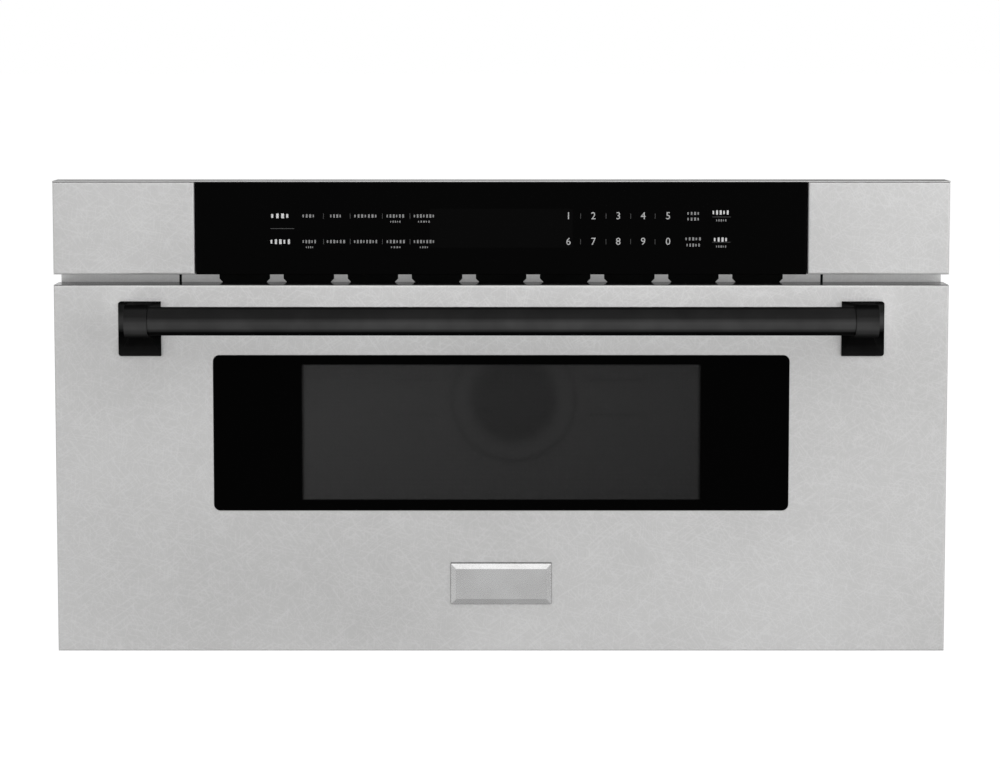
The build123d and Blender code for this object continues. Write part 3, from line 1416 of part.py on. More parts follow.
nodes = {
    "front_frame": make_front_frame,
    "base_pan": make_base_pan,
    "side_panel_right": make_side_panel,
    "side_panel_left": lambda: other_side(make_side_panel()),
    "cabinet_top": make_cabinet_top,
    "rear_panel": make_rear_panel,
    "cord_gland": make_cord_gland,
    "exhaust_grille": make_exhaust_grille,
    "exhaust_duct": make_exhaust_duct,
    "cavity_shell": make_cavity_shell,
    "cavity_stand": make_cavity_stand,
    "waveguide": make_waveguide,
    "waveguide_cover": make_waveguide_cover,
    "stirrer": make_stirrer,
    "stirrer_motor": make_stirrer_motor,
    "magnetron_yoke": make_magnetron_yoke,
    "magnetron_tube": make_magnetron_tube,
    "oven_lamp": make_oven_lamp,
    "fan_shroud": make_fan_shroud,
    "fan_wheel": make_fan_wheel,
    "fan_motor": make_fan_motor,
    "air_guide": make_air_guide,
    "transformer_core": make_transformer_core,
    "transformer_windings": make_transformer_windings,
    "capacitor": make_capacitor,
    "noise_filter": make_noise_filter,
    "cheek_right": make_cheek,
    "cheek_left": lambda: other_side(make_cheek()),
    "top_trim": make_top_trim,
    "control_glass": make_control_glass,
    "control_housing": make_control_housing,
    "control_board": make_control_board,
    "drawer_skin": make_drawer_skin,
    "window_glass": make_window_glass,
    "window_holder": make_window_holder,
    "inner_frame": make_inner_frame,
    "choke_cover": make_choke_cover,
    "inner_window": make_inner_window,
    "door_screen": make_door_screen,
    "badge_plate": make_badge_plate,
    "handle_bracket_right": make_handle_bracket,
    "handle_bracket_left": lambda: other_side(make_handle_bracket()),
    "handle_bar": make_handle_bar,
    "tub": make_tub,
    "glass_tray": make_glass_tray,
    "slide_outer_members": lambda: both_sides(make_slide_outer()),
    "slide_middle_members": lambda: both_sides(make_slide_middle()),
    "slide_inner_members": lambda: both_sides(make_slide_inner()),
    "slide_brackets": lambda: both_sides(make_slide_bracket()),
    "outer_ball_cages": lambda: make_ball_row(outer_ball_u, outer_ball_w),
    "inner_ball_cages": lambda: make_ball_row(inner_ball_u, inner_ball_w),
    "drawer_arms": make_drawer_arms,
    "drive_rack": make_drive_rack,
    "drive_pinion": make_drive_pinion,
    "pinion_shaft": make_pinion_shaft,
    "drive_motor": make_drive_motor,
    "motor_bracket": make_motor_bracket,
    "latch_hooks": make_latch_hooks,
    "interlock_switches": make_interlock_switches,
    "switch_plungers": make_switch_plungers,
}

os.makedirs("parts", exist_ok=True)
for name, make in nodes.items():
    export_step(make(), f"parts/{name}.step")
    print(name)
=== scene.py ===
import json
import math

import bmesh
import bpy
from mathutils import Matrix, Vector


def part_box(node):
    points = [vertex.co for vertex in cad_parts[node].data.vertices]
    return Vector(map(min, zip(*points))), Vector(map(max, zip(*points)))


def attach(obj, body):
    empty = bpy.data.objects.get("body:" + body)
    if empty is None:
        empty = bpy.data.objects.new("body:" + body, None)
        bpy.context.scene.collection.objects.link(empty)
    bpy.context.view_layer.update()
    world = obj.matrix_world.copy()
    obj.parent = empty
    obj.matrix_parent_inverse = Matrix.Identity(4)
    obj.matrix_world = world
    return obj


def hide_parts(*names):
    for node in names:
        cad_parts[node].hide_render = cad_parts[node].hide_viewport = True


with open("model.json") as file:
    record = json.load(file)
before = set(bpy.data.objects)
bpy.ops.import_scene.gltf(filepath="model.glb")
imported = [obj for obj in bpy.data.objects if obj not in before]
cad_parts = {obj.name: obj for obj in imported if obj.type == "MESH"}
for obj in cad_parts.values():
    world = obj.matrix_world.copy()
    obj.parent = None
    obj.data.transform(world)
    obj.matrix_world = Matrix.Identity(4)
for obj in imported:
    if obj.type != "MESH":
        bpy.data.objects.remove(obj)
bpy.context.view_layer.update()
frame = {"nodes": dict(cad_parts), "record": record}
nodes = frame["nodes"]
scene = bpy.context.scene
mm = 0.001
print("frame loaded:", len(nodes), "nodes")


# Node trees: a Value is what one output carries, and arithmetic on it adds the nodes

def plug(tree, socket, value):
    # a constant goes on the socket itself, and what other nodes work out is linked to it
    value = value.socket if isinstance(value, Value) else value
    if isinstance(value, bpy.types.NodeSocket):
        tree.links.new(value, socket)
    else:
        socket.default_value = value


def addNode(tree, kind, values=None, **settings):
    made = tree.nodes.new(kind)
    for key, value in settings.items():
        setattr(made, key, value)
    for key, value in (values or {}).items():
        plug(tree, made.inputs[key], value)
    return made


def addValue(tree, kind, values=None, output=0, **settings):
    return Value(tree, addNode(tree, kind, values, **settings).outputs[output])


class Value:
    def __init__(self, tree, socket):
        self.tree = tree
        self.socket = socket

    def apply(self, operation, other=0.0):
        return addValue(self.tree, "ShaderNodeMath", {0: self, 1: other}, operation=operation)

    def __add__(self, other):
        return self.apply("ADD", other)

    def __sub__(self, other):
        return self.apply("SUBTRACT", other)

    def __rsub__(self, other):
        return self.apply("MULTIPLY", -1.0) + other

    def __mul__(self, other):
        return self.apply("MULTIPLY", other)

    def __truediv__(self, other):
        return self.apply("DIVIDE", other)

    def __abs__(self):
        return self.apply("ABSOLUTE")

    def wave(self, pitch):
        return (self * (2 * math.pi / pitch)).apply("SINE")

    def map(self, low=0.0, high=1.0, fromLow=0.35, fromHigh=0.65, smooth=False):
        # as it stands, it spreads a noise over 0 to 1
        ends = {"Value": self, "From Min": fromLow, "From Max": fromHigh, "To Min": low, "To Max": high}
        kind = "SMOOTHSTEP" if smooth else "LINEAR"
        return addValue(self.tree, "ShaderNodeMapRange", ends, interpolation_type=kind)

    def scaled(self, factor):
        # a colour or a vector times one number
        return addValue(self.tree, "ShaderNodeVectorMath", {0: self, "Scale": factor}, operation="SCALE")


class Paint:
    # a material in the making; its patterns are laid out in metres of the shared frame
    def __init__(self, name, **constants):
        self.material = bpy.data.materials.new(name)
        self.material.use_nodes = True
        self.tree = self.material.node_tree
        self.shader = self.tree.nodes["Principled BSDF"]
        self.place = addValue(self.tree, "ShaderNodeTexCoord", output="Object")
        self.put(**constants)

    def put(self, **sockets):
        for key, value in sockets.items():
            plug(self.tree, self.shader.inputs[key.replace("_", " ")], value)

    def axes(self, names):
        parts = addNode(self.tree, "ShaderNodeSeparateXYZ", {0: self.place})
        return [Value(self.tree, parts.outputs[name]) for name in names]

    def noise(self, size, detail=2.0, stretch=(1, 1, 1), turn=(0, 0, 0), place=None):
        # size is the width of one blotch; stretch makes it longer along an axis of the turned pattern
        scale = [size * s for s in stretch]
        layout = {"Vector": place or self.place, "Rotation": turn, "Scale": scale}
        mapped = addValue(self.tree, "ShaderNodeMapping", layout, vector_type="TEXTURE")
        pattern = {"Vector": mapped, "Scale": 1.0, "Detail": detail}
        return addValue(self.tree, "ShaderNodeTexNoise", pattern, "Fac")

    def shifted(self, x, y, z, amount):
        # the place, moved by a vector that noises make
        offset = addValue(self.tree, "ShaderNodeCombineXYZ", {0: x, 1: y, 2: z}).scaled(amount)
        return addValue(self.tree, "ShaderNodeVectorMath", {0: self.place, 1: offset}, operation="ADD")

    def mix(self, share, first, second):
        return addValue(self.tree, "ShaderNodeMix", {0: share, 6: first, 7: second}, 2, data_type="RGBA")

    def coat(self, tone, roughness, height=None, depth=0.0, strength=1.0):
        self.put(Base_Color=tone, Roughness=roughness)
        if height is not None:
            relief = {"Height": height, "Distance": depth, "Strength": strength}
            self.put(Normal=addValue(self.tree, "ShaderNodeBump", relief))
        return self.material


def grey(level, warm=0.0):
    return (level * (1 + warm), level, level * (1 - warm), 1.0)


# Materials, one function for each finish

snowSteel = {
    "dark": grey(0.427, 0.006), "bright": grey(0.53, 0.002), "roughness": (0.46, 0.58), "metallic": 0.42,
    "strokeLength": 0.014, "strokeWidth": 0.0009, "strokeTurns": (12, 55, 98, 146), "widthStep": 0.12,
    "strokeDepth": 0.000014, "strokeShare": (0.53, 0.72), "strokeFull": 1.5, "strokeWeight": 0.6,
    "cloudSize": 0.16, "cloudWeight": 0.4, "curlSizes": (0.03, 0.039), "curl": 0.006,
    # the last three set a band of painted light behind the handle
    "lift": 0.5, "paintedLightHeight": 0.028, "paintedLightEnds": (0.3, 0.355),
}
frameSteel = dict(snowSteel, dark=grey(0.5, 0.004), bright=grey(0.575), roughness=(0.32, 0.42),
                  metallic=1.0, lift=0.0)
barShape = {"grow": 0.001, "drop": 0.0012}


def barAxis():
    # middle and radius of the handle's tube
    low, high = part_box("handle_bar")
    middle = (low + high) / 2 + Vector((0, barShape["grow"], -barShape["drop"]))
    return middle, (high.z - low.z) / 2 + barShape["grow"]


def strokes(paint, looks):
    # fine scratches on the upright faces that cross in several directions
    long = looks["strokeLength"] / looks["strokeWidth"]
    curlX, curlZ = [paint.noise(size, 0.0) for size in looks["curlSizes"]]
    place = paint.shifted(curlX, 0.0, curlZ, looks["curl"])
    layers = []
    for index, turn in enumerate(looks["strokeTurns"]):
        width = looks["strokeWidth"] * (1 + looks["widthStep"] * index)
        layer = paint.noise(width, 1.0, (long, 1.0, 1.0), (0.0, math.radians(turn), 0.0), place)
        layers.append(layer.map(0.0, 1.0, *looks["strokeShare"]))
    return sum(layers[1:], layers[0])


def makeSnowSteel(name, looks):
    paint = Paint(name, Metallic=looks["metallic"])
    scratch = strokes(paint, looks)
    fine = scratch.map(0.0, 1.0, 0.0, looks["strokeFull"])
    slow = paint.noise(looks["cloudSize"]).map()
    shade = fine * looks["strokeWeight"] + slow * looks["cloudWeight"]
    tone = paint.mix(shade, looks["dark"], looks["bright"])
    if looks["lift"]:
        # painted light: the sheet is made lighter in a band behind the handle, to cancel the shade that the
        # tube casts on it
        x, z = paint.axes("XZ")
        away = (z - barAxis()[0].z) / looks["paintedLightHeight"]
        band = (away * away * -1.0).apply("EXPONENT")
        inside = abs(x).map(1, 0, *looks["paintedLightEnds"], True)
        tone = tone.scaled(band * inside * looks["lift"] + 1.0)
    return paint.coat(tone, fine.map(*looks["roughness"], 0.0, 1.0), scratch, looks["strokeDepth"])


brightSteel = {"dark": grey(0.36, 0.01), "light": grey(0.42), "roughness": (0.34, 0.44), "tint": grey(0.3),
               "lineWidth": 0.0005, "lineStretch": (24, 24, 1), "cloudSize": 0.03, "depth": 0.000004}


def makeBrightSteel(name, looks):
    # drawn along its length, so that the lines run one way
    paint = Paint(name, Metallic=1.0, Specular_Tint=looks["tint"])
    drawn = paint.noise(looks["lineWidth"], 1.0, looks["lineStretch"])
    shade = drawn * 0.5 + paint.noise(looks["cloudSize"]) * 0.5
    tone = paint.mix(shade.map(), looks["dark"], looks["light"])
    return paint.coat(tone, drawn.map(*looks["roughness"]), drawn, looks["depth"])


zincSheet = {"dark": grey(0.31, -0.014), "light": grey(0.44, -0.008), "roughness": (0.5, 0.64),
             "metallic": 0.8, "bendSize": 0.012, "bend": 0.012, "crystalsPerMetre": 170.0,
             "crystalWeight": 0.65, "smudgeSize": 0.11, "smudgeWeight": 0.35, "depth": 0.000012}


def makeGalvanised(name, looks):
    # zinc crystals of a few millimetres, each a little lighter or duller than the next
    paint = Paint(name, Metallic=looks["metallic"])
    warped = paint.noise(looks["bendSize"])
    bent = paint.shifted(warped, warped, warped, looks["bend"])
    layout = {"Vector": bent, "Scale": looks["crystalsPerMetre"]}
    crystal = addValue(paint.tree, "ShaderNodeTexVoronoi", layout, "Color")
    level = addValue(paint.tree, "ShaderNodeSeparateColor", {"Color": crystal})
    smudge = paint.noise(looks["smudgeSize"], 3.0).map()
    shade = level * looks["crystalWeight"] + smudge * looks["smudgeWeight"]
    tone = paint.mix(shade, looks["dark"], looks["light"])
    return paint.coat(tone, level.map(*looks["roughness"], 0.0, 1.0), level, looks["depth"])


enamel = {"dark": grey(0.5, 0.012), "light": grey(0.56, 0.008), "speck": grey(0.14), "roughness": (0.3, 0.42),
          "speckSize": 0.0008, "speckShare": (0.64, 0.72), "cloudSize": 0.06, "depth": 0.00002,
          "coat": 0.2, "coatRoughness": 0.15}


def makeEnamel(name, looks):
    paint = Paint(name, Coat_Weight=looks["coat"], Coat_Roughness=looks["coatRoughness"])
    speck = paint.noise(looks["speckSize"])
    cloud = paint.noise(looks["cloudSize"], 3.0)
    base = paint.mix(cloud.map(), looks["dark"], looks["light"])
    tone = paint.mix(speck.map(0.0, 1.0, *looks["speckShare"]), base, looks["speck"])
    return paint.coat(tone, cloud.map(*looks["roughness"]), speck, looks["depth"], 0.6)


# painted shade and highlight: level by height across the bar, darker above and below and lighter in a band a
# little below the middle, standing in for how the tube is lit
powderTube = {
    "levels": ((-1.02, 0.0), (-0.74, 0.0005), (-0.58, 0.02), (-0.4, 0.042), (-0.05, 0.042), (0.1, 0.03),
               (0.34, 0.011), (0.82, 0.009), (0.97, 0.001)),
    "roughness": (0.46, 0.58), "grain": 0.0006, "depth": 0.00003, "specular": 0.035, "cloudSize": 0.03,
    "worn": (0.85, 1.15), "dullBelow": (-0.78, -0.6), "dullAbove": (0.9, 1.0), "dull": 0.4,
}
# the brackets' levels by height are painted shade and highlight in the same way
castShadeLevels = ((-2.7, 0.008), (-2.2, 0.005), (-1.8, 0.002), (-1.1, 0.0), (-0.95, 0.008), (-0.72, 0.026),
              (-0.4, 0.042), (-0.1, 0.036), (0.2, 0.02), (0.45, 0.01), (0.8, 0.01), (1.0, 0.002), (1.15, 0.0))
powderCast = dict(powderTube, levels=castShadeLevels, grain=0.0007, depth=0.00004, specular=0.02,
                  dullBelow=(-1.1, -0.85), dullAbove=(0.85, 1.0))


def makePowderCoat(name, looks):
    paint = Paint(name, Specular_IOR_Level=looks["specular"])
    grain = paint.noise(looks["grain"])
    middle, radius = barAxis()
    across = (paint.axes("Z")[0] - middle.z) / radius
    below = across.map(looks["dull"], 0.0, *looks["dullBelow"])
    above = across.map(0.0, looks["dull"], *looks["dullAbove"])
    first, last = looks["levels"][0][0], looks["levels"][-1][0]
    # painted shade and highlight: the colour follows the height across the bar through this ramp
    ramp = addNode(paint.tree, "ShaderNodeValToRGB", {"Fac": across.map(0, 1, first, last)})
    band = ramp.color_ramp
    band.interpolation = "EASE"
    for index, (at, level) in enumerate(looks["levels"]):
        spot = (at - first) / (last - first)
        stop = band.elements[index] if index < 2 else band.elements.new(spot)
        stop.position = spot
        stop.color = grey(level)
    worn = paint.noise(looks["cloudSize"]).map(*looks["worn"])
    tone = Value(paint.tree, ramp.outputs[0]).scaled(worn)
    rough = grain.map(*looks["roughness"]) + below.apply("MAXIMUM", above)
    return paint.coat(tone, rough, grain, looks["depth"], 0.5)


def makeMoulded(name, dark, light, roughness, grain=0.0009, depth=0.00002, metallic=0.0,
                specular=0.5, tint=1.0):
    # moulded, cast or machined surface with a fine grain and slow colour drift
    cloudSize, spread = 0.04, 0.06
    paint = Paint(name, Metallic=metallic, Specular_IOR_Level=specular, Specular_Tint=grey(tint))
    fine = paint.noise(grain)
    tone = paint.mix(paint.noise(cloudSize, 3.0).map(), dark, light)
    return paint.coat(tone, fine.map(roughness - spread, roughness + spread), fine, depth, 0.6)


def makeStriped(name, dark, light, roughness, pitch, axis, metallic):
    # turns of wire or stacked sheets: fine even ribs along one axis
    driftSize, driftWeight, waveWeight, depth = 0.004, 0.6, 0.35, 0.00012
    paint = Paint(name, Metallic=metallic)
    wave = paint.axes(axis)[0].wave(pitch)
    drift = paint.noise(driftSize)
    rib = drift * driftWeight + wave * waveWeight
    tone = paint.mix(rib.map(0, 1, 0.0, 0.6), dark, light)
    return paint.coat(tone, drift.map(roughness - 0.05, roughness + 0.08), wave, depth)


boardLooks = {"mask": (0.012, 0.085, 0.035, 1), "track": (0.03, 0.16, 0.07, 1), "roughness": 0.35,
              "pitch": 0.0025, "patchSize": 0.009, "patchLength": 4, "trackShare": (0.4, 0.6),
              "depth": 0.00005}


def makeBoard(name, looks):
    # solder mask with faint tracks running both ways
    paint = Paint(name)
    x, z = paint.axes("XZ")
    long = looks["patchLength"]
    runs = []
    for across, stretch, start in ((z, (long, 1, 1), 0.5), (x, (1, 1, long), 0.55)):
        patch = paint.noise(looks["patchSize"], 0.0, stretch).map(0, 1, start, start + 0.02)
        runs.append(across.wave(looks["pitch"]).map(0, 1, *looks["trackShare"]) * patch)
    tracks = runs[0].apply("MAXIMUM", runs[1])
    tone = paint.mix(tracks, looks["mask"], looks["track"])
    return paint.coat(tone, looks["roughness"], tracks, looks["depth"])


clearGlass = {"alpha": 0.3, "colour": (0.5, 0.58, 0.55, 1.0), "roughness": (0.04, 0.12), "smearSize": 0.05}


def makeClearGlass(name, looks):
    # thin clear sheet: mostly seen through, a little green, with faint smears
    paint = Paint(name, Alpha=looks["alpha"], Specular_IOR_Level=0.5)
    return paint.coat(looks["colour"], paint.noise(looks["smearSize"], 4.0).map(*looks["roughness"]))


touchBlack = {"glass": grey(0.001), "display": grey(0.0019), "specular": 0.014, "roughness": (0.05, 0.12),
              "smearSize": 0.05, "displayHalf": 0.061, "displayRise": 0.017, "displayEdge": 0.001}


def makeTouchGlass(name, looks):
    # printed black from behind, with the display's smoked rectangle in its middle
    paint = Paint(name, Specular_IOR_Level=looks["specular"])
    low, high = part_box("control_glass")
    x, z = paint.axes("XZ")
    half, rise, edge = looks["displayHalf"], looks["displayRise"], looks["displayEdge"]
    inX = abs(x).map(1, 0, half - edge, half)
    inZ = abs(z - (low.z + high.z) / 2).map(1, 0, rise - edge, rise)
    tone = paint.mix(inX * inZ, looks["glass"], looks["display"])
    return paint.coat(tone, paint.noise(looks["smearSize"], 4.0).map(*looks["roughness"]))


windowLooks = {
    "border": grey(0.0004), "viewDark": grey(0.0165), "viewLight": grey(0.0395), "specular": 0.01,
    "roughness": (0.05, 0.13), "smearSize": 0.05, "clear": 0.2, "cloudSize": 0.14, "cloudWeight": 0.1,
    "viewHalf": 0.1705, "viewRise": 0.0585, "viewLift": 0.0006, "softSide": 0.004, "softTop": 0.0016,
    "slopeX": -1.8, "slopeZ": 3.0, "slopeTo": (0.16, 0.92), "slopeFrom": (0.05, 0.95),
    "ringMiddle": (0.0107, 0.2112), "ringRadius": 0.0525, "ringEdge": (0.0008, 0.0034), "ringDepth": 0.22,
    "discEdge": (0.03, 0.044), "discDepth": 0.42,
    "wireEnds": ((-0.0935, -0.052), (0.07, 0.125)), "wireHeights": (0.2279, 0.1981),
    "wireSoft": 0.004, "wireEdge": (0.0003, 0.0015), "wireDepth": 0.25,
}


def makeWindowGlass(name, looks):
    # black printed border round a smoked field, behind which the unlit oven just shows; the field's tone is
    # painted light and shade, lighter towards the upper left and darker in marks standing for the oven's
    # inside
    paint = Paint(name, Specular_IOR_Level=looks["specular"])
    low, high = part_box("window_glass")
    middle = (low.z + high.z) / 2 + looks["viewLift"]
    x, z = paint.axes("XZ")
    sideways = abs(x) - looks["viewHalf"]
    upright = abs(z - middle) - looks["viewRise"]
    field = sideways.map(1, 0, -looks["softSide"], 0.0, True)
    field = field * upright.map(1, 0, -looks["softTop"], 0.0, True)
    # painted light: the field grows lighter towards its upper left
    slope = (x * looks["slopeX"] + z * looks["slopeZ"]).map(*looks["slopeTo"], *looks["slopeFrom"])
    tone = slope + paint.noise(looks["cloudSize"], 1.0) * looks["cloudWeight"]
    # painted shade: a ring, a disc and short level lines darken the field where the oven's inside would show
    # through
    ringX, ringZ = looks["ringMiddle"]
    away = ((x - ringX).apply("POWER", 2.0) + (z - ringZ).apply("POWER", 2.0)).apply("SQRT")
    ring = abs(away - looks["ringRadius"]).map(looks["ringDepth"], 0.0, *looks["ringEdge"], True)
    shape = ring.apply("MAXIMUM", away.map(looks["discDepth"], 0.0, *looks["discEdge"], True))
    for left, right in looks["wireEnds"]:
        half = (right - left) / 2
        aside = abs(x - (left + right) / 2).map(looks["wireDepth"], 0, half - looks["wireSoft"], half)
        for height in looks["wireHeights"]:
            level = abs(z - height).map(1, 0, *looks["wireEdge"], True)
            shape = shape.apply("MAXIMUM", aside * level)
    view = paint.mix(tone - shape, looks["viewDark"], looks["viewLight"])
    paint.put(Alpha=1.0 - field * looks["clear"])
    smear = paint.noise(looks["smearSize"], 4.0)
    return paint.coat(paint.mix(field, looks["border"], view), smear.map(*looks["roughness"]))


badgeSteel = {"dark": grey(0.385, 0.004), "light": grey(0.425), "roughness": (0.2, 0.3), "grain": 0.0011,
              "cloudSize": 0.03, "depth": 0.000004, "bevel": 0.0045, "top": 0.8, "bottom": 0.78, "left": 1.06,
              "right": 0.92, "seam": 0.0007, "seamTone": 0.93, "tie": 0.00001}


def makeBadge(name, looks):
    # satin plate with a plain face; each of its four bevels is made lighter or darker by its side, as painted
    # light and shade, and a faint darker line runs where the bevels meet the face
    paint = Paint(name, Metallic=1.0)
    low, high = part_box("badge_plate")
    x, z = paint.axes("XZ")
    edges = (("top", high.z - z), ("bottom", z - low.z), ("left", x - low.x), ("right", high.x - x))
    nearest = edges[0][1]
    for side, distance in edges[1:]:
        nearest = nearest.apply("MINIMUM", distance)
    shade = abs(nearest - looks["bevel"]).map(looks["seamTone"], 1.0, 0.0, looks["seam"], True)
    # painted light and shade: each bevel's tone is scaled by the side it faces
    for side, distance in edges:
        mine = distance.apply("LESS_THAN", nearest + looks["tie"])
        bevelled = mine * distance.apply("LESS_THAN", looks["bevel"])
        shade = shade * (bevelled * (looks[side] - 1.0) + 1.0)
    grain = paint.noise(looks["grain"])
    base = paint.mix(paint.noise(looks["cloudSize"]).map(), looks["dark"], looks["light"])
    return paint.coat(base.scaled(shade), grain.map(*looks["roughness"]), grain, looks["depth"])


copper = ((0.25, 0.07, 0.02, 1), (0.55, 0.2, 0.07, 1))
red = ((0.4, 0.02, 0.01, 1), (0.5, 0.03, 0.02, 1))
bareMetal = {"depth": 0.00001, "metallic": 1.0}
paleMetal = (grey(0.55, -0.01), grey(0.66, -0.01))
platedMetal = (grey(0.24, -0.01), grey(0.36, -0.01))
finishes = {
    "stainless": makeSnowSteel("snow brushed stainless", snowSteel),
    "polished_stainless": makeBrightSteel("bright drawn stainless", brightSteel),
    "galvanised": makeGalvanised("galvanised sheet", zincSheet),
    "cavity_enamel": makeEnamel("baked enamel", enamel),
    "black_cast": makePowderCoat("powder coat on castings", powderCast),
    "black_tube": makePowderCoat("powder coat on tube", powderTube),
    "dark_glass": makeWindowGlass("window glass", windowLooks),
    "touch_glass": makeTouchGlass("touch glass", touchBlack),
    "clear_glass": makeClearGlass("clear glass", clearGlass),
    "black_plastic": makeMoulded("black moulding", grey(0.018), grey(0.028), 0.5),
    "pale_plastic": makeMoulded("pale moulding", grey(0.5, 0.03), grey(0.56, 0.03), 0.45),
    "white_ceramic": makeMoulded("mica sheet", grey(0.5, 0.08), grey(0.66, 0.06), 0.4, 0.003, 0.00003),
    "black_steel": makeMoulded("black lacquer", grey(0.02), grey(0.03), 0.38, 0.0008),
    "copper_winding": makeStriped("lacquered wire", *copper, 0.3, 0.0014, "Z", 0.8),
    "laminations": makeStriped("stacked laminations", grey(0.08), grey(0.17), 0.45, 0.001, "Y", 0.7),
    "aluminium": makeMoulded("plain aluminium", *paleMetal, 0.34, 0.0006, **bareMetal),
    "circuit_board": makeBoard("circuit board", boardLooks),
    "gear_steel": makeMoulded("machined steel", grey(0.3), grey(0.4), 0.3, 0.0005, **bareMetal),
    "gear_plastic": makeMoulded("white acetal", grey(0.66, 0.02), grey(0.72, 0.02), 0.36),
    "ptfe": makeMoulded("white plastic", grey(0.7), grey(0.76), 0.4),
    "switch_red": makeMoulded("red plastic", *red, 0.35),
}
extraFinishes = {
    "badge": makeBadge("satin badge plate", badgeSteel),
    "frame": makeSnowSteel("plain frame stainless", frameSteel),
    # painted reflection: a dark colour for the drawer's top fold, for the dark reveal it would mirror
    "mirror": makeMoulded("dark fold strip as painted reflection", grey(0.05), grey(0.06), 0.12, 0.0011, 0.000001, 0.4, 0.05, 0.12),
    "screen": makeMoulded("lacquered screen", grey(0.05), grey(0.075), 0.5, 0.0012),
    "rubber": makeMoulded("black rubber", grey(0.003), grey(0.006), 0.7, 0.0005, specular=0.08),
    "screw": makeMoulded("zinc plated screw", *platedMetal, 0.42, 0.0005, **bareMetal),
    # painted shadow: a dark strip behind the badge plate, for the shade along its edges
    "darkSeat": makeMoulded("dark strip as painted shadow", grey(0.05), grey(0.08), 0.6, 0.0008),
}
slotOf = {part["node"]: part["material_slot"] for part in frame["record"]["subparts"]}
for name, thing in nodes.items():
    thing.data.materials.clear()
    thing.data.materials.append(finishes[slotOf[name]])
for name, extra in (("badge_plate", "badge"), ("front_frame", "frame"), ("exhaust_grille", "frame")):
    nodes[name].data.materials[0] = extraFinishes[extra]
print("materials made:", len(finishes) + len(extraFinishes))


# Meshes are built in place: every object stays at the origin

def addObject(name, data):
    made = bpy.data.objects.new(name, data)
    scene.collection.objects.link(made)
    return made


def addPiece(name, mesh, body, slotName, material=None, smooth=None):
    piece = addObject(name, mesh)
    if not mesh.materials:
        mesh.materials.append(material or finishes[slotName])
    if smooth:
        mesh.shade_smooth()
        mesh.set_sharp_from_angle(angle=math.radians(smooth))
    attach(piece, body)
    return piece


def fillMesh(mesh, shape):
    bmesh.ops.recalc_face_normals(shape, faces=shape.faces)
    shape.to_mesh(mesh)
    shape.free()
    return mesh


def meshFrom(name, shape):
    return fillMesh(bpy.data.meshes.new(name), shape)


def shapeFrom(mesh):
    shape = bmesh.new()
    shape.from_mesh(mesh)
    return shape


def weld(shape, distance):
    bmesh.ops.remove_doubles(shape, verts=shape.verts, dist=distance)


def bakedMesh(thing, *helpers):
    # the mesh of an object after its modifiers; the object and its helpers go
    bpy.context.view_layer.update()
    graph = bpy.context.evaluated_depsgraph_get()
    mesh = bpy.data.meshes.new_from_object(thing.evaluated_get(graph))
    for spare in (thing, *helpers):
        bpy.data.objects.remove(spare)
    return mesh


def addBar(shape, low, high):
    # a plain closed block between two corners, as one part of a bigger mesh
    middle = [(a + b) / 2 for a, b in zip(low, high)]
    size = [b - a for a, b in zip(low, high)]
    matrix = Matrix.Translation(middle) @ Matrix.Diagonal(size + [1])
    bmesh.ops.create_cube(shape, size=1.0, matrix=matrix)


def bridge(shape, rows, closed=True):
    # quads between each row of vertices and the next
    for first, second in zip(rows, rows[1:]):
        for index in range(len(first) if closed else len(first) - 1):
            following = (index + 1) % len(first)
            shape.faces.new((first[index], first[following], second[following], second[index]))


def addSheets(shape, spotAt, sides, stations, levels):
    # two curved sheets over the same grid of shares from 0 to 1, joined along their first and last rows
    grids = []
    for side in sides:
        grid = [[shape.verts.new(spotAt(i / stations, j / levels, side)) for j in range(levels + 1)]
                for i in range(stations + 1)]
        bridge(shape, grid, False)
        grids.append(grid)
    for station in (0, -1):
        bridge(shape, [grid[station] for grid in grids], False)
    return grids


def addTurned(shape, profile, axis, middle, segments):
    # a closed profile of (along, radius) points turned round an axis that runs through the middle
    rings = []
    for along, radius in profile:
        ring = []
        for step in range(segments):
            angle = 2 * math.pi * step / segments
            spot = [radius * math.cos(angle), radius * math.sin(angle)]
            spot.insert("XYZ".index(axis), along)
            ring.append(shape.verts.new(Vector(spot) + Vector(middle)))
        rings.append(ring)
    bridge(shape, rings + rings[:1])


def roundedOutline(halfX, halfZ, corner, steps=6):
    points = []
    for signX, signZ, start in ((1, 1, 0), (-1, 1, 90), (-1, -1, 180), (1, -1, 270)):
        for step in range(steps + 1):
            angle = math.radians(start + 90 * step / steps)
            points.append((signX * (halfX - corner) + corner * math.cos(angle),
                           signZ * (halfZ - corner) + corner * math.sin(angle)))
    return points


def frameRing(name, outer, inner, middleZ, frontY, backY):
    # a flat closed ring in the X and Z plane between two outlines of as many points
    shape = bmesh.new()
    rows = []
    for outline, y in ((outer, frontY), (inner, frontY), (inner, backY), (outer, backY)):
        rows.append([shape.verts.new((x, y, z + middleZ)) for x, z in outline])
    bridge(shape, rows + rows[:1])
    return meshFrom(name, shape)


def centred(count, pitch, middle=0.0):
    return [middle + (index - (count - 1) / 2) * pitch for index in range(count)]


def pair(node, axis, inset):
    # two places along an axis just inside a node's box, or outside it for a negative inset
    low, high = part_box(node)
    return [getattr(low, axis) + inset, getattr(high, axis) - inset]


def middleOf(node):
    low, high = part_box(node)
    return (low + high) / 2


def spots(xs, ys, zs, facing):
    return [((x, y, z), facing, 0.0) for x in xs for y in ys for z in zs]


# Geometry Nodes that put copies of one mesh on points; every copy's own Z axis follows the point's facing

def enabledSocket(sockets, name):
    return next(socket for socket in sockets if socket.name == name and socket.enabled)


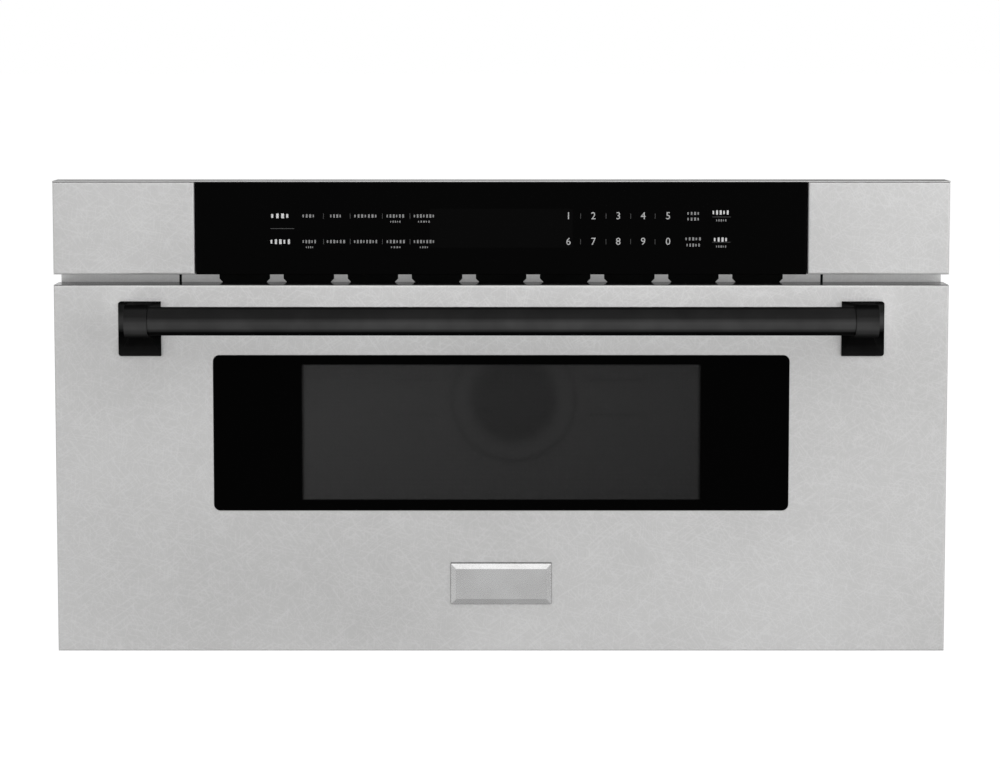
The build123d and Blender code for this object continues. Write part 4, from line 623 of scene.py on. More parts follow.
def copyTree(material):
    tree = bpy.data.node_groups.new("copies on points", "GeometryNodeTree")
    tree.interface.new_socket("Geometry", in_out="OUTPUT", socket_type="NodeSocketGeometry")
    tree.interface.new_socket("Geometry", in_out="INPUT", socket_type="NodeSocketGeometry")
    keys = {}
    for name, kind in (("Copy", "Object"), ("Size", "Float"), ("Spin", "Float"), ("Seed", "Int")):
        made = tree.interface.new_socket(name, in_out="INPUT", socket_type="NodeSocket" + kind)
        keys[name] = made.identifier
    given = tree.nodes.new("NodeGroupInput").outputs
    shape = addNode(tree, "GeometryNodeObjectInfo", {"Object": given["Copy"]}).outputs["Geometry"]
    facing = addNode(tree, "GeometryNodeInputNamedAttribute", {"Name": "facing"}, data_type="FLOAT_VECTOR")
    turn = addNode(tree, "GeometryNodeInputNamedAttribute", {"Name": "turn"}, data_type="FLOAT")
    facing, turn = [enabledSocket(read.outputs, "Attribute") for read in (facing, turn)]
    aligned = addNode(tree, "FunctionNodeAlignRotationToVector", {"Vector": facing}, axis="Z").outputs[0]
    chance = addNode(tree, "FunctionNodeRandomValue", {"Seed": given["Seed"]}, data_type="FLOAT")
    tree.links.new(given["Spin"], enabledSocket(chance.inputs, "Max"))
    angle = Value(tree, enabledSocket(chance.outputs, "Value")) + turn
    spun = addValue(tree, "FunctionNodeAxisAngleToRotation", {"Axis": (0, 0, 1), "Angle": angle})
    turns = {"Rotation": aligned, "Rotate By": spun}
    rotated = addValue(tree, "FunctionNodeRotateRotation", turns, rotation_space="LOCAL")
    layout = {"Points": given["Geometry"], "Instance": shape, "Rotation": rotated, "Scale": given["Size"]}
    placed = addValue(tree, "GeometryNodeInstanceOnPoints", layout)
    real = addValue(tree, "GeometryNodeRealizeInstances", {"Geometry": placed})
    finish = addNode(tree, "GeometryNodeSetMaterial", {"Geometry": real, "Material": material})
    tree.links.new(finish.outputs[0], tree.nodes.new("NodeGroupOutput").inputs[0])
    return tree, keys


def bakeCopies(name, copyMesh, places, material, size=1.0, spin=0.0, seed=1):
    # places are (point, facing, turn); gives one plain mesh
    points = bpy.data.meshes.new(name + "Points")
    points.from_pydata([place[0] for place in places], [], [])
    for key, kind, field, part in (("facing", "FLOAT_VECTOR", "vector", 1), ("turn", "FLOAT", "value", 2)):
        attribute = points.attributes.new(key, kind, "POINT")
        for index, place in enumerate(places):
            setattr(attribute.data[index], field, place[part])
    holder, copied = addObject(name + "Points", points), addObject(name + "Copy", copyMesh)
    tree, keys = copyTree(material)
    modifier = holder.modifiers.new("copies", "NODES")
    modifier.node_group = tree
    for key, value in (("Copy", copied), ("Size", size), ("Spin", spin), ("Seed", seed)):
        modifier[keys[key]] = value
    mesh = bakedMesh(holder, copied)
    mesh.name = name
    for attribute in [a for a in mesh.attributes if a.name in ("facing", "turn")]:
        mesh.attributes.remove(attribute)
    return mesh


# Screws

screwLooks = {
    "radius": 0.0032, "height": 0.0018, "recessDepth": 0.0011, "recessTaper": 0.72, "armLength": 0.0019,
    "armWidth": 0.00042, "profile": ((1.0, 0.0), (1.0, 0.35), (0.9, 0.78), (0.7, 1.0)),
    "flushHeight": 0.0002, "flushRecess": 0.0001, "innerSize": 0.9, "spin": 6.28, "seed": 11,
}
screwPlaces = {
    "lap": 0.0075, "rearX": (-0.2, 0.0, 0.2), "rearZ": (0.045, 0.185, 0.325), "shroud": (-0.005, 0.008),
    "filter": (0.005, 0.005), "sideY": (0.03, 0.2, 0.37, 0.535), "tailZ": (0.12, 0.245),
    "seat": 0.0025, "core": (0.0155, 0.01), "capacitor": 0.006, "stirrer": 0.0045, "stirrerBack": 0.0015,
    "stirrerSeat": 0.0012, "motor": (0.007, 0.008), "motorSeat": 0.003, "slide": (0.006, 0.03),
    "slideMiddle": 0.235, "lamp": 0.0035, "lampSeat": 0.001,
    "coverX": (-0.32, -0.11, 0.11, 0.32), "coverY": (0.553, 0.02), "frameX": 0.3465,
    "frameZ": (0.035, 0.19, 0.3), "sillX": (-0.2, 0.0, 0.2), "sillZ": 0.018,
    "drawerX": 0.366, "drawerZ": (0.02, 0.15, 0.285), "railX": (-0.24, -0.08, 0.08, 0.24),
    "railZ": (0.01, 0.2995), "armX": 0.268, "armY": (0.03, 0.14, 0.25, 0.36),
}


def screwHead(looks, flush=False):
    # pan head with a cross recess, standing on its base; a flush one is a thin disc
    radius, arm, half = looks["radius"], looks["armLength"], looks["armWidth"]
    height = looks["flushHeight"] if flush else looks["height"]
    recess = height - (looks["flushRecess"] if flush else looks["recessDepth"])
    steps = [(radius * wide, height * tall, False) for wide, tall in looks["profile"]]
    steps += [(1.0, height, True), (looks["recessTaper"], recess, True)]
    elbow = (half + arm) / 2
    cross = [(half, -half), (elbow, -half), (arm, -half), (arm, 0.0), (arm, half), (elbow, half)]
    shape = bmesh.new()
    rings = []
    for scale, z, isCross in steps:
        ring = []
        for index in range(24):
            if isCross:
                x, y = cross[index % 6]
                quarter = Matrix.Rotation(math.radians(90 * (index // 6)), 3, "Z")
                spot = quarter @ Vector((scale * x, scale * y, z))
            else:
                angle = math.radians(15 * index - 45)
                spot = (scale * math.cos(angle), scale * math.sin(angle), z)
            ring.append(shape.verts.new(spot))
        rings.append(ring)
    bridge(shape, rings)
    shape.faces.new(rings[-1])
    shape.faces.new(list(reversed(rings[0])))
    return meshFrom("screwHead", shape)


def casePlaces(at):
    # screws in the outer casing: rear panel and both sides
    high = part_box("rear_panel")[1]
    back, y = (0, 1, 0), [high.y]
    heights = (at["lap"], high.z - at["lap"])
    found = spots(pair("rear_panel", "x", at["lap"]), y, at["rearZ"], back)
    found += spots(at["rearX"], y, heights[::-1], back)
    for node, (insetX, insetZ) in (("fan_shroud", at["shroud"]), ("noise_filter", at["filter"])):
        found += spots(pair(node, "x", insetX), y, pair(node, "z", insetZ), back)
    for side in (-1, 1):
        found += spots([side * high.x], at["sideY"], heights, (side, 0, 0))
        found += spots([side * high.x], at["sideY"][-1:], at["tailZ"], (side, 0, 0))
    return found


def innerPlaces(at):
    # screws inside the case, found when the covers are off
    up, seat = (0, 0, 1), [at["seat"]]
    x, y = at["core"]
    found = spots(pair("transformer_core", "x", x), pair("transformer_core", "y", y), seat, up)
    found += spots(pair("capacitor", "x", at["capacitor"])[1:], [middleOf("capacitor").y], seat, up)
    y = middleOf("stirrer_motor").y - at["stirrerBack"]
    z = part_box("stirrer_motor")[0].z + at["stirrerSeat"]
    found += spots(pair("stirrer_motor", "x", at["stirrer"]), [y], [z], up)
    x, y = at["motor"]
    found += spots(pair("motor_bracket", "x", x)[1:], pair("motor_bracket", "y", y), [at["motorSeat"]], up)
    x, y = at["slide"]
    first, last = pair("slide_brackets", "y", y)
    for x in pair("slide_brackets", "x", x):
        found += spots([x], (first, at["slideMiddle"], last), seat, up)
    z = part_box("oven_lamp")[0].z + at["lampSeat"]
    return found + spots(pair("oven_lamp", "x", at["lamp"]), pair("oven_lamp", "y", at["lamp"]), [z], up)


def framePlaces(at):
    # flush screws that hold the top cover, and the front frame to the case flanges
    face, front = [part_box("front_frame")[0].y], (0, -1, 0)
    cover = spots(at["coverX"], at["coverY"], [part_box("cabinet_top")[1].z], (0, 0, 1))
    uprights = spots((-at["frameX"], at["frameX"]), face, at["frameZ"], front)
    return cover + uprights + spots(at["sillX"], face, [at["sillZ"]], front)


def drawerPlaces(at):
    # flush screws round the drawer's inner frame
    face = [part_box("inner_frame")[1].y]
    uprights = spots((-at["drawerX"], at["drawerX"]), face, at["drawerZ"], (0, 1, 0))
    return uprights + spots(at["railX"], face, at["railZ"], (0, 1, 0))


def armPlaces(at):
    # screws from the side arms into the slides
    height = [middleOf("slide_inner_members").z]
    left = spots([-at["armX"]], at["armY"], height, (1, 0, 0))
    return left + spots([at["armX"]], at["armY"], height, (-1, 0, 0))


def makeScrews(looks, at):
    pan, flush, inner = screwHead(looks), screwHead(looks, True), looks["innerSize"]
    for name, head, body, places, size in (
            ("caseScrews", pan, "chassis", casePlaces(at), 1.0),
            ("innerScrews", pan, "chassis", innerPlaces(at), inner),
            ("frameScrews", flush, "chassis", framePlaces(at), 1.0),
            ("drawerScrews", flush, "drawer", drawerPlaces(at), 1.0),
            ("armScrews", pan, "drawer", armPlaces(at), inner)):
        mesh = bakeCopies(name, head, places, extraFinishes["screw"], size, looks["spin"], looks["seed"])
        addPiece(name, mesh, body, "gear_steel", smooth=28)
        print("screws:", name, len(places))


makeScrews(screwLooks, screwPlaces)


# Perforated screen behind the window: square cells, each with a round-looking hole

screenLooks = {"pitch": 0.0042, "columns": 90, "rows": 33, "holeRadius": 0.00155, "thickness": 0.0008}


def screenCell(looks):
    half = looks["pitch"] / 2
    shape = bmesh.new()
    rows = []
    for isHole, y in ((False, 0.0), (True, 0.0), (True, looks["thickness"]), (False, looks["thickness"])):
        row = []
        for index in range(8):
            angle = math.radians(45 * index)
            x, z = math.cos(angle), math.sin(angle)
            reach = looks["holeRadius"] if isHole else half / max(abs(x), abs(z))
            row.append(shape.verts.new((reach * x, reach * z, y)))
        rows.append(row)
    bridge(shape, rows)
    return meshFrom("screenCell", shape)


def makeScreen(looks):
    low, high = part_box("door_screen")
    middle = middleOf("door_screen")
    pitch = looks["pitch"]
    xs, zs = centred(looks["columns"], pitch, middle.x), centred(looks["rows"], pitch, middle.z)
    places = spots(xs, [high.y], zs, (0, -1, 0))
    mesh = bakeCopies("perforatedScreen", screenCell(looks), places, extraFinishes["screen"])
    shape = shapeFrom(mesh)
    weld(shape, 1e-6)
    fieldX, fieldZ = looks["columns"] * pitch / 2, looks["rows"] * pitch / 2
    for side in (-1, 1):
        wide = sorted((side * (high.x - middle.x), side * fieldX))
        tall = sorted((side * (high.z - middle.z), side * fieldZ))
        addBar(shape, (middle.x + wide[0], low.y, low.z), (middle.x + wide[1], high.y, high.z))
        addBar(shape, (middle.x - fieldX, low.y, middle.z + tall[0]),
               (middle.x + fieldX, high.y, middle.z + tall[1]))
    shape.to_mesh(mesh)
    shape.free()
    piece = addPiece("perforatedScreen", mesh, "drawer", "black_steel")
    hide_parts("door_screen")
    print("perforated screen:", len(places), "holes,", len(mesh.polygons), "faces")


makeScreen(screenLooks)


# Pressed hoods over the air slots in the rear panel

louvreLooks = {"columns": 2, "rows": 8, "columnPitch": 0.056, "rowPitch": 0.013, "length": 0.049,
               "height": 0.0085, "proud": 0.0022, "sheet": 0.0006, "lift": 0.0012, "seat": 0.00005,
               "stations": 10, "levels": 5}


def louvreHood(looks):
    # a shallow quarter bulge, open below and closed at its ends
    def spotAt(share, down, inset):
        along = share * 2 - 1
        swell = (1 - abs(along) ** 6) * (looks["proud"] - inset)
        lift = swell * math.sin(down * math.pi / 2) + looks["seat"]
        return along * looks["length"] / 2, looks["height"] * (0.5 - down), lift

    shape = bmesh.new()
    grids = addSheets(shape, spotAt, (0.0, looks["sheet"]), looks["stations"], looks["levels"])
    for level in (-1, 0):
        bridge(shape, [[row[level] for row in grid] for grid in grids], False)
    weld(shape, 1e-7)
    return meshFrom("louvreHood", shape)


def makeLouvres(looks):
    middle = middleOf("fan_shroud")
    xs = centred(looks["columns"], looks["columnPitch"], middle.x)
    zs = centred(looks["rows"], looks["rowPitch"], middle.z + looks["lift"])
    places = spots(xs, [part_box("rear_panel")[1].y], zs, (0, 1, 0))
    mesh = bakeCopies("rearLouvres", louvreHood(looks), places, finishes["galvanised"])
    addPiece("rearLouvres", mesh, "chassis", "galvanised", smooth=40)
    print("louvres:", len(places))


makeLouvres(louvreLooks)


# Balls between the ones that the slides' cages already hold

ballLooks = {"radius": 0.0016, "pitch": 0.0137, "count": 16, "inset": 0.0025, "taken": 0.055, "clear": 2.2}


def makeBalls(looks):
    shape = bmesh.new()
    bmesh.ops.create_icosphere(shape, subdivisions=2, radius=looks["radius"])
    ball = meshFrom("ball", shape)
    for node, body, name in (("outer_ball_cages", "outer_cages", "outerSlideBalls"),
                             ("inner_ball_cages", "inner_cages", "innerSlideBalls")):
        middle = middleOf(node)
        x = pair(node, "x", looks["inset"])[1]
        places = []
        for y in centred(looks["count"], looks["pitch"], middle.y):
            if abs(abs(y - middle.y) - looks["taken"]) > looks["clear"] * looks["radius"]:
                places += spots((-x, x), [y], pair(node, "z", looks["radius"]), (0, 0, 1))
        addPiece(name, bakeCopies(name, ball, places, finishes["gear_steel"]), body, "gear_steel", smooth=60)


makeBalls(ballLooks)
print("slide balls placed")


# Fan wheel with twisted blades

fanLooks = {
    "blades": 7, "hubRadius": 0.015, "rootShare": 0.8, "chord": (0.017, 0.027), "pitch": (40.0, 24.0),
    "camber": 0.0022, "thickness": (0.0016, 0.00096), "shaftRadius": 0.0025, "bore": 0.0002,
    "tipGap": 0.0002, "hubFront": 0.0055, "hubRound": 0.0012, "hubNose": 0.004, "hubShoulder": 0.86,
    "hubTip": 0.5, "stations": 10, "chords": 6, "segments": 32,
}


def blend(ends, share):
    return ends[0] + (ends[1] - ends[0]) * share


def fanBlade(looks, tipRadius):
    root = looks["hubRadius"] * looks["rootShare"]

    def spotAt(share, level, side):
        across = level * 2 - 1
        radius = blend((root, tipRadius), share)
        pitch = math.radians(blend(looks["pitch"], share))
        thick = blend(looks["thickness"], share) / 2 * math.sqrt(max(0.0, 1 - across ** 4))
        u = across * blend(looks["chord"], math.sin(share * math.pi / 2)) / 2
        w = looks["camber"] * (1 - across ** 2) + side * thick
        sweep = (u * math.cos(pitch) - w * math.sin(pitch)) / radius
        rise = u * math.sin(pitch) + w * math.cos(pitch)
        return radius * math.cos(sweep), radius * math.sin(sweep), rise

    shape = bmesh.new()
    addSheets(shape, spotAt, (1, -1), looks["stations"], looks["chords"])
    weld(shape, 1e-6)
    return meshFrom("fanBlade", shape)


def makeFanWheel(looks):
    low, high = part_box("fan_wheel")
    middle = middleOf("fan_shroud")
    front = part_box("fan_shroud")[0].y + looks["hubFront"]
    blade = fanBlade(looks, high.z - middle.z - looks["tipGap"])
    spot = (middle.x, (front + high.y) / 2, middle.z)
    places = [(spot, (0, 1, 0), 2 * math.pi * index / looks["blades"]) for index in range(looks["blades"])]
    mesh = bakeCopies("fanWheel", blade, places, finishes["black_plastic"])
    shape = shapeFrom(mesh)
    hub, shaft, bore, soft = looks["hubRadius"], looks["shaftRadius"], looks["bore"], looks["hubRound"]
    shoulder = hub * looks["hubShoulder"]
    profile = [(low.y, bore), (low.y, shaft), (front, shaft), (front, shoulder), (front + soft, hub),
               (high.y - looks["hubNose"], hub), (high.y - soft, shoulder), (high.y, hub * looks["hubTip"]),
               (high.y, bore)]
    addTurned(shape, profile, "Y", (middle.x, 0, middle.z), looks["segments"])
    piece = addPiece("fanWheel", fillMesh(mesh, shape), "fan", "black_plastic", smooth=35)
    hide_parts("fan_wheel")


makeFanWheel(fanLooks)
print("fan wheel made")


# Handle: a smooth tube, and brackets with softened edges

handleLooks = {"segments": 72, "wall": 0.0015, "endRound": 0.0005, "bracketEdge": 0.0008,
               "bracketCorner": 0.0024, "cutSpare": 0.001, "sharpAngle": 30, "weld": 0.00002,
               "footGap": 0.0001, "noseGrow": 0.18, "noseDrop": 0.0011}


def makeHandleBar(looks):
    low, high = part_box("handle_bar")
    middle, radius = barAxis()
    inner, soft = radius - looks["wall"], looks["endRound"]
    profile = [(low.x, inner), (low.x, radius - soft), (low.x + soft, radius), (high.x - soft, radius),
               (high.x, radius - soft), (high.x, inner)]
    shape = bmesh.new()
    addTurned(shape, profile, "X", (0, middle.y, middle.z), looks["segments"])
    piece = addPiece("handleBar", meshFrom("handleBar", shape), "drawer", "black_tube", smooth=30)
    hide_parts("handle_bar")


def cutCorners(mesh, node, looks):
    # rounds the two outer corners of a bracket's foot, all the way through
    low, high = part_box(node)
    outerX, side = (high.x, 1) if high.x > 0 else (low.x, -1)
    radius, spare = looks["bracketCorner"], looks["cutSpare"]
    shape = bmesh.new()
    for z, up in ((high.z, 1), (low.z, -1)):
        outline = [(outerX + side * spare, z + up * spare), (outerX + side * spare, z - up * radius)]
        for step in range(7):
            angle = math.radians(15 * step)
            inward, away = radius * (1 - math.cos(angle)), radius * (1 - math.sin(angle))
            outline.append((outerX - side * inward, z - up * away))
        outline.append((outerX - side * radius, z + up * spare))
        rows = [[shape.verts.new((x, y, z)) for x, z in outline] for y in (low.y - spare, high.y + spare)]
        bridge(shape, rows)
        for row in rows:
            shape.faces.new(row)
    cutter, blank = addObject("cutter", meshFrom("cutter", shape)), addObject("blank", mesh)
    cut = blank.modifiers.new("cut", "BOOLEAN")
    cut.operation = "DIFFERENCE"
    cut.solver = "EXACT"
    cut.object = cutter
    return bakedMesh(blank, cutter)


def makeBracket(node, name, looks):
    shape = shapeFrom(nodes[node].data)
    weld(shape, looks["weld"])
    rounded = cutCorners(meshFrom("blank", shape), node, looks)
    rounded.materials.clear()
    shape = shapeFrom(rounded)
    weld(shape, looks["weld"])
    bmesh.ops.dissolve_limit(shape, angle_limit=math.radians(1.0), verts=shape.verts, edges=shape.edges)
    noseY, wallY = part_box(node)[0].y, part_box(node)[1].y
    turn, foot = math.radians(looks["sharpAngle"]), wallY - looks["footGap"]
    sharp = [edge for edge in shape.edges if len(edge.link_faces) == 2
             and edge.calc_face_angle(0) > turn and min(v.co.y for v in edge.verts) < foot]
    bmesh.ops.bevel(shape, geom=sharp, offset=looks["bracketEdge"], segments=3, profile=0.5, affect="EDGES",
                    clamp_overlap=True)
    axisZ = middleOf("handle_bar").z
    for vertex in shape.verts:
        out = (wallY - vertex.co.y) / (wallY - noseY)
        share = out * out * (3 - 2 * out)
        vertex.co.z += share * ((vertex.co.z - axisZ) * looks["noseGrow"] - looks["noseDrop"])
    piece = addPiece(name, meshFrom(name, shape), "drawer", "black_cast", smooth=30)
    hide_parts(node)


makeHandleBar(handleLooks)
makeBracket("handle_bracket_left", "handleBracketLeft", handleLooks)
makeBracket("handle_bracket_right", "handleBracketRight", handleLooks)
print("handle made")


# Seals and a painted shadow: rubber round the grille and the window, and a dark strip behind the badge plate
# that stands in for the shade along its edges, widest above

sealLooks = {"grilleJoint": 0.0022, "grilleLap": 0.005, "grilleCorner": 0.0001, "grilleSink": 0.0003,
             "grilleBack": -0.0001, "windowGap": 0.0006, "windowCorner": 0.005, "windowSink": 0.0003,
             "play": 0.00005, "padTop": 0.0008, "padEdge": 0.00025, "padThickness": 0.0005,
             "padCorner": 0.0006, "padWidth": 0.004}


def makeSeals(looks):
    high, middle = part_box("exhaust_grille")[1], middleOf("exhaust_grille")
    joint, corner = looks["grilleJoint"], looks["grilleCorner"]
    halfX, halfZ = high.x - looks["grilleLap"], high.z - looks["grilleLap"] - middle.z
    outer = roundedOutline(halfX, halfZ, corner, 1)
    inner = roundedOutline(halfX - joint, halfZ - joint, corner, 1)
    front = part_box("front_frame")[0].y + looks["grilleSink"]
    rings = [("grilleSeal", "chassis", "rubber", outer, inner, middle.z, front, looks["grilleBack"])]

    low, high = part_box("window_glass")
    corner, gap, play = looks["windowCorner"], looks["windowGap"], looks["play"]
    rise, middleZ, front = (high.z - low.z) / 2, (high.z + low.z) / 2, low.y + looks["windowSink"]
    inner = roundedOutline(high.x + play, rise + play, corner)
    outer = roundedOutline(high.x + gap - play, rise + gap - play, corner + gap)
    rings.append(("windowGasket", "drawer", "rubber", outer, inner, middleZ, front, high.y))

    # painted shadow: the dark strip shows round the badge plate, widest along its top
    low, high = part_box("badge_plate")
    edge, top, corner, width = looks["padEdge"], looks["padTop"], looks["padCorner"], looks["padWidth"]
    outer = roundedOutline(high.x + edge, (high.z - low.z + top + edge) / 2, corner, 3)
    inner = roundedOutline(high.x - width, (high.z - low.z) / 2 - width, corner, 3)
    middleZ, front = (high.z + top + low.z - edge) / 2, high.y - looks["padThickness"]
    rings.append(("badgePad", "drawer", "darkSeat", outer, inner, middleZ, front, high.y - play))
    for name, body, finish, *sizes in rings:
        addPiece(name, frameRing(name, *sizes), body, "black_plastic", extraFinishes[finish])


makeSeals(sealLooks)
print("seals made")


# Dark plates in the reveal's air slots as painted shade of the openings, a dark strip on the drawer's top
# fold as painted reflection, and the top strip

revealLooks = {
    "slots": 9, "pitch": 0.0551, "length": 0.0434, "width": 0.0099, "corner": 0.0039, "rise": 0.004,
    "slotShadeSteps": ((1.0, 0.0018), (1.0, -0.00006), (0.99, -0.00012)), "foldThickness": 0.00015,
    "foldInset": 0.0005, "foldEdge": 0.00005, "stripEdge": 0.0003,
}


def makeSlotShades(looks):
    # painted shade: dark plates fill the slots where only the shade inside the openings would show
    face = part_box("exhaust_grille")[0].y
    x, z, corner = looks["length"] / 2, looks["width"] / 2, looks["corner"]
    outline = [(x, z), (-x, z), (-x, corner - z), (corner - x, -z), (x - corner, -z), (x, corner - z)]
    shape = bmesh.new()
    rows = []
    for scale, back in looks["slotShadeSteps"]:
        rows.append([shape.verts.new((px * scale, face + back, pz * scale)) for px, pz in outline])
    bridge(shape, rows)
    shape.faces.new(rows[0])
    shape.faces.new(rows[-1])
    insert = meshFrom("ventSlotShade", shape)
    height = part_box("drawer_skin")[1].z + looks["rise"]
    places = spots(centred(looks["slots"], looks["pitch"]), [0], [height], (0, 0, 1))
    mesh = bakeCopies("ventInserts", insert, places, extraFinishes["rubber"])
    addPiece("ventInserts", mesh, "chassis", "black_plastic")


def makeFoldReflection(looks):
    # a dark strip over the drawer's top fold: painted reflection of the dark reveal and control band above it
    low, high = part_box("drawer_skin")
    inset = looks["foldInset"]
    top = high.z + looks["foldThickness"]
    shape = bmesh.new()
    addBar(shape, (low.x + inset, low.y + inset, high.z), (high.x - inset, high.y, top))
    bmesh.ops.bevel(shape, geom=shape.edges[:], offset=looks["foldEdge"], segments=1, affect="EDGES")
    addPiece("polishedFold", meshFrom("polishedFold", shape), "drawer", "stainless", extraFinishes["mirror"])


def makeTrim(looks):
    # one bright strip over the cheeks and the control panel, its front edge softened
    low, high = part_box("top_trim")
    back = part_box("control_housing")[1].y
    shape = bmesh.new()
    addBar(shape, low, (high.x, back, high.z))
    front = [edge for edge in shape.edges if max(v.co.y for v in edge.verts) < (low.y + back) / 2]
    bmesh.ops.bevel(shape, geom=front, offset=looks["stripEdge"], segments=2, profile=0.5, affect="EDGES")
    piece = addPiece("topStrip", meshFrom("topStrip", shape), "chassis", "polished_stainless", smooth=50)
    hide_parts("top_trim")


makeSlotShades(revealLooks)
makeFoldReflection(revealLooks)
makeTrim(revealLooks)
print("reveal dressed")


# Pressed beads that stiffen the sheets of the case

beadLooks = {
    "width": 0.016, "height": 0.0013, "segments": 8, "levels": 4, "longLength": 0.42, "shortLength": 0.2,
    "middleY": 0.285, "sideZ": (0.095, 0.185, 0.275), "topX": (-0.21, -0.07, 0.07, 0.21),
    "rearX": -0.13, "rearZ": (0.06, 0.12, 0.24), "fanSideX": 0.17,
}


def beadMesh(name, length, looks):
    # a low long dome with round ends, lying along X
    shape = bmesh.new()
    half, segments = looks["width"] / 2, looks["segments"]
    rings = []
    for level in range(looks["levels"] + 1):
        slope = level / looks["levels"] * math.pi / 2
        reach, lift = half * math.cos(slope), looks["height"] * math.sin(slope)
        ring = []
        for side, start in ((1, -90), (-1, 90)):
            for step in range(segments + 1):
                angle = math.radians(start + 180 * step / segments)
                x = side * (length / 2 - half) + reach * math.cos(angle)
                ring.append(shape.verts.new((x, reach * math.sin(angle), lift)))
        rings.append(ring)
    bridge(shape, rings)
    shape.faces.new(list(reversed(rings[0])))
    weld(shape, 1e-6)
    return meshFrom(name, shape)


def makeBeads(looks):
    back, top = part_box("rear_panel")[1].y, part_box("cabinet_top")[1].z
    side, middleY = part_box("side_panel_right")[1].x, looks["middleY"]
    quarter = math.pi / 2
    along = [((sign * side, middleY, z), (sign, 0, 0), quarter) for sign in (-1, 1) for z in looks["sideZ"]]
    along += [((x, middleY, top), (0, 0, 1), quarter) for x in looks["topX"]]
    across = spots([looks["rearX"]], [back], looks["rearZ"], (0, 1, 0))
    across += spots([looks["fanSideX"]], [back], looks["rearZ"][:1], (0, 1, 0))
    for name, bead, length, places in (("caseBeads", "longBead", looks["longLength"], along),
                                       ("rearBeads", "shortBead", looks["shortLength"], across)):
        mesh = bakeCopies(name, beadMesh(bead, length, looks), places, finishes["galvanised"])
        addPiece(name, mesh, "chassis", "galvanised", smooth=60)


makeBeads(beadLooks)
print("case beads pressed")


# Printed marks on the touch glass. A mark is its left end, right end and number of blocks, in millimetres

legendLooks = {
    "proud": 0.00012, "thickness": 0.00006, "digitHeight": 0.0060, "digitPitch": 0.0211,
    "firstDigitX": 0.0569, "capShare": 0.69, "rowZ": (0.3676, 0.3459), "digitLevel": 0.42, "dimLevel": 0.23,
    "brightLevel": 0.6, "ruleLevel": 0.07, "keyLift": 0.1, "keyTall": 2.8, "underLift": -4.7,
    "underTall": 1.6, "ruleX": (-150.6, -128.0, -100.7, -77.3, 67.2, 88.7, 109.6, 130.3),
    "ruleHalf": 0.00018, "ruleRise": 0.0022, "lineHalf": 0.00016, "lineX": (0.1789, 0.1942),
    "lineZ": (366.9, 345.5), "dashX": (-0.1955, -0.1753), "dashZ": (0.35685, 0.35725),
    "blockShare": 0.4, "blockSpread": 0.16, "lowShare": 0.8,
}
keyMarks = (
    ((-168.3, -156.9, 4), (-144.9, -134.3, 4), (-124.5, -104.0, 7), (-97.1, -81.2, 6), (-74.1, -55.5, 7)),
    ((-168.3, -155.9, 5), (-147.8, -131.2, 6), (-124.8, -103.9, 8), (-97.1, -80.5, 6), (-74.1, -55.4, 7)),
)
underMarks = (
    ((-94.0, -84.4, 5), (-70.5, -59.5, 5)),
    ((-165.5, -158.5, 4), (-93.5, -84.0, 4), (-69.0, -61.0, 4)),
)
# these also give the height of their middle, and how tall they are
rightMarks = ((157.6, 169.0, 4, 369.9, 2.6), (157.6, 169.0, 4, 365.1, 2.6), (156.0, 170.5, 5, 348.3, 2.6),
              (157.0, 169.5, 5, 343.0, 2.6), (182.0, 191.5, 5, 364.0, 1.8), (182.0, 191.5, 5, 341.8, 1.8))
boldMarks = ((178.9, 194.0, 5, 370.7, 3.6), (180.2, 193.0, 4, 347.7, 3.6), (-194.8, -177.9, 4, 367.8, 4.0),
             (-195.5, -177.2, 5, 345.9, 4.0))


def makeInk(name, level):
    paint = Paint(name, Specular_IOR_Level=0.2)
    return paint.coat(paint.mix(paint.noise(0.002).map(), grey(level * 0.85), grey(level)), 0.5)


def printBar(shape, looks, left, right, bottom, top):
    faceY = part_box("control_glass")[0].y - looks["proud"]
    addBar(shape, (left, faceY, bottom), (right, faceY + looks["thickness"], top))


def printMarks(shape, looks, marks):
    # a key's mark: a short row of plain blocks
    for left, right, count, z, tall in marks:
        pitch = (right - left) / count
        for index in range(count):
            start = left + index * pitch
            end = start + pitch * (looks["blockShare"] + looks["blockSpread"] * ((index * 7) % 3) / 2)
            rise = tall / 2 * (1.0 if (index * 5) % 3 else looks["lowShare"])
            printBar(shape, looks, start * mm, end * mm, (z - rise) * mm, (z + rise) * mm)


def makeLegends(looks):
    dim, lines, bold = bmesh.new(), bmesh.new(), bmesh.new()
    for row, z in enumerate(looks["rowZ"]):
        for marks, lift, tall in ((keyMarks[row], looks["keyLift"], looks["keyTall"]),
                                  (underMarks[row], looks["underLift"], looks["underTall"])):
            printMarks(dim, looks, [(*mark, z / mm + lift, tall) for mark in marks])
    printMarks(dim, looks, rightMarks)
    printMarks(bold, looks, boldMarks)
    half, rise, thin = looks["ruleHalf"], looks["ruleRise"], looks["lineHalf"]
    for x in looks["ruleX"]:
        for z in looks["rowZ"]:
            printBar(lines, looks, x * mm - half, x * mm + half, z - rise, z + rise)
    printBar(lines, looks, *looks["dashX"], *looks["dashZ"])
    for z in looks["lineZ"]:
        printBar(lines, looks, *looks["lineX"], z * mm - thin, z * mm + thin)
    for name, shape, level in (("touchMarksSmall", dim, looks["dimLevel"]),
                               ("touchMarksLines", lines, looks["ruleLevel"]),
                               ("touchMarksBold", bold, looks["brightLevel"])):
        addPiece(name, meshFrom(name, shape), "chassis", "pale_plastic", makeInk(name, level))


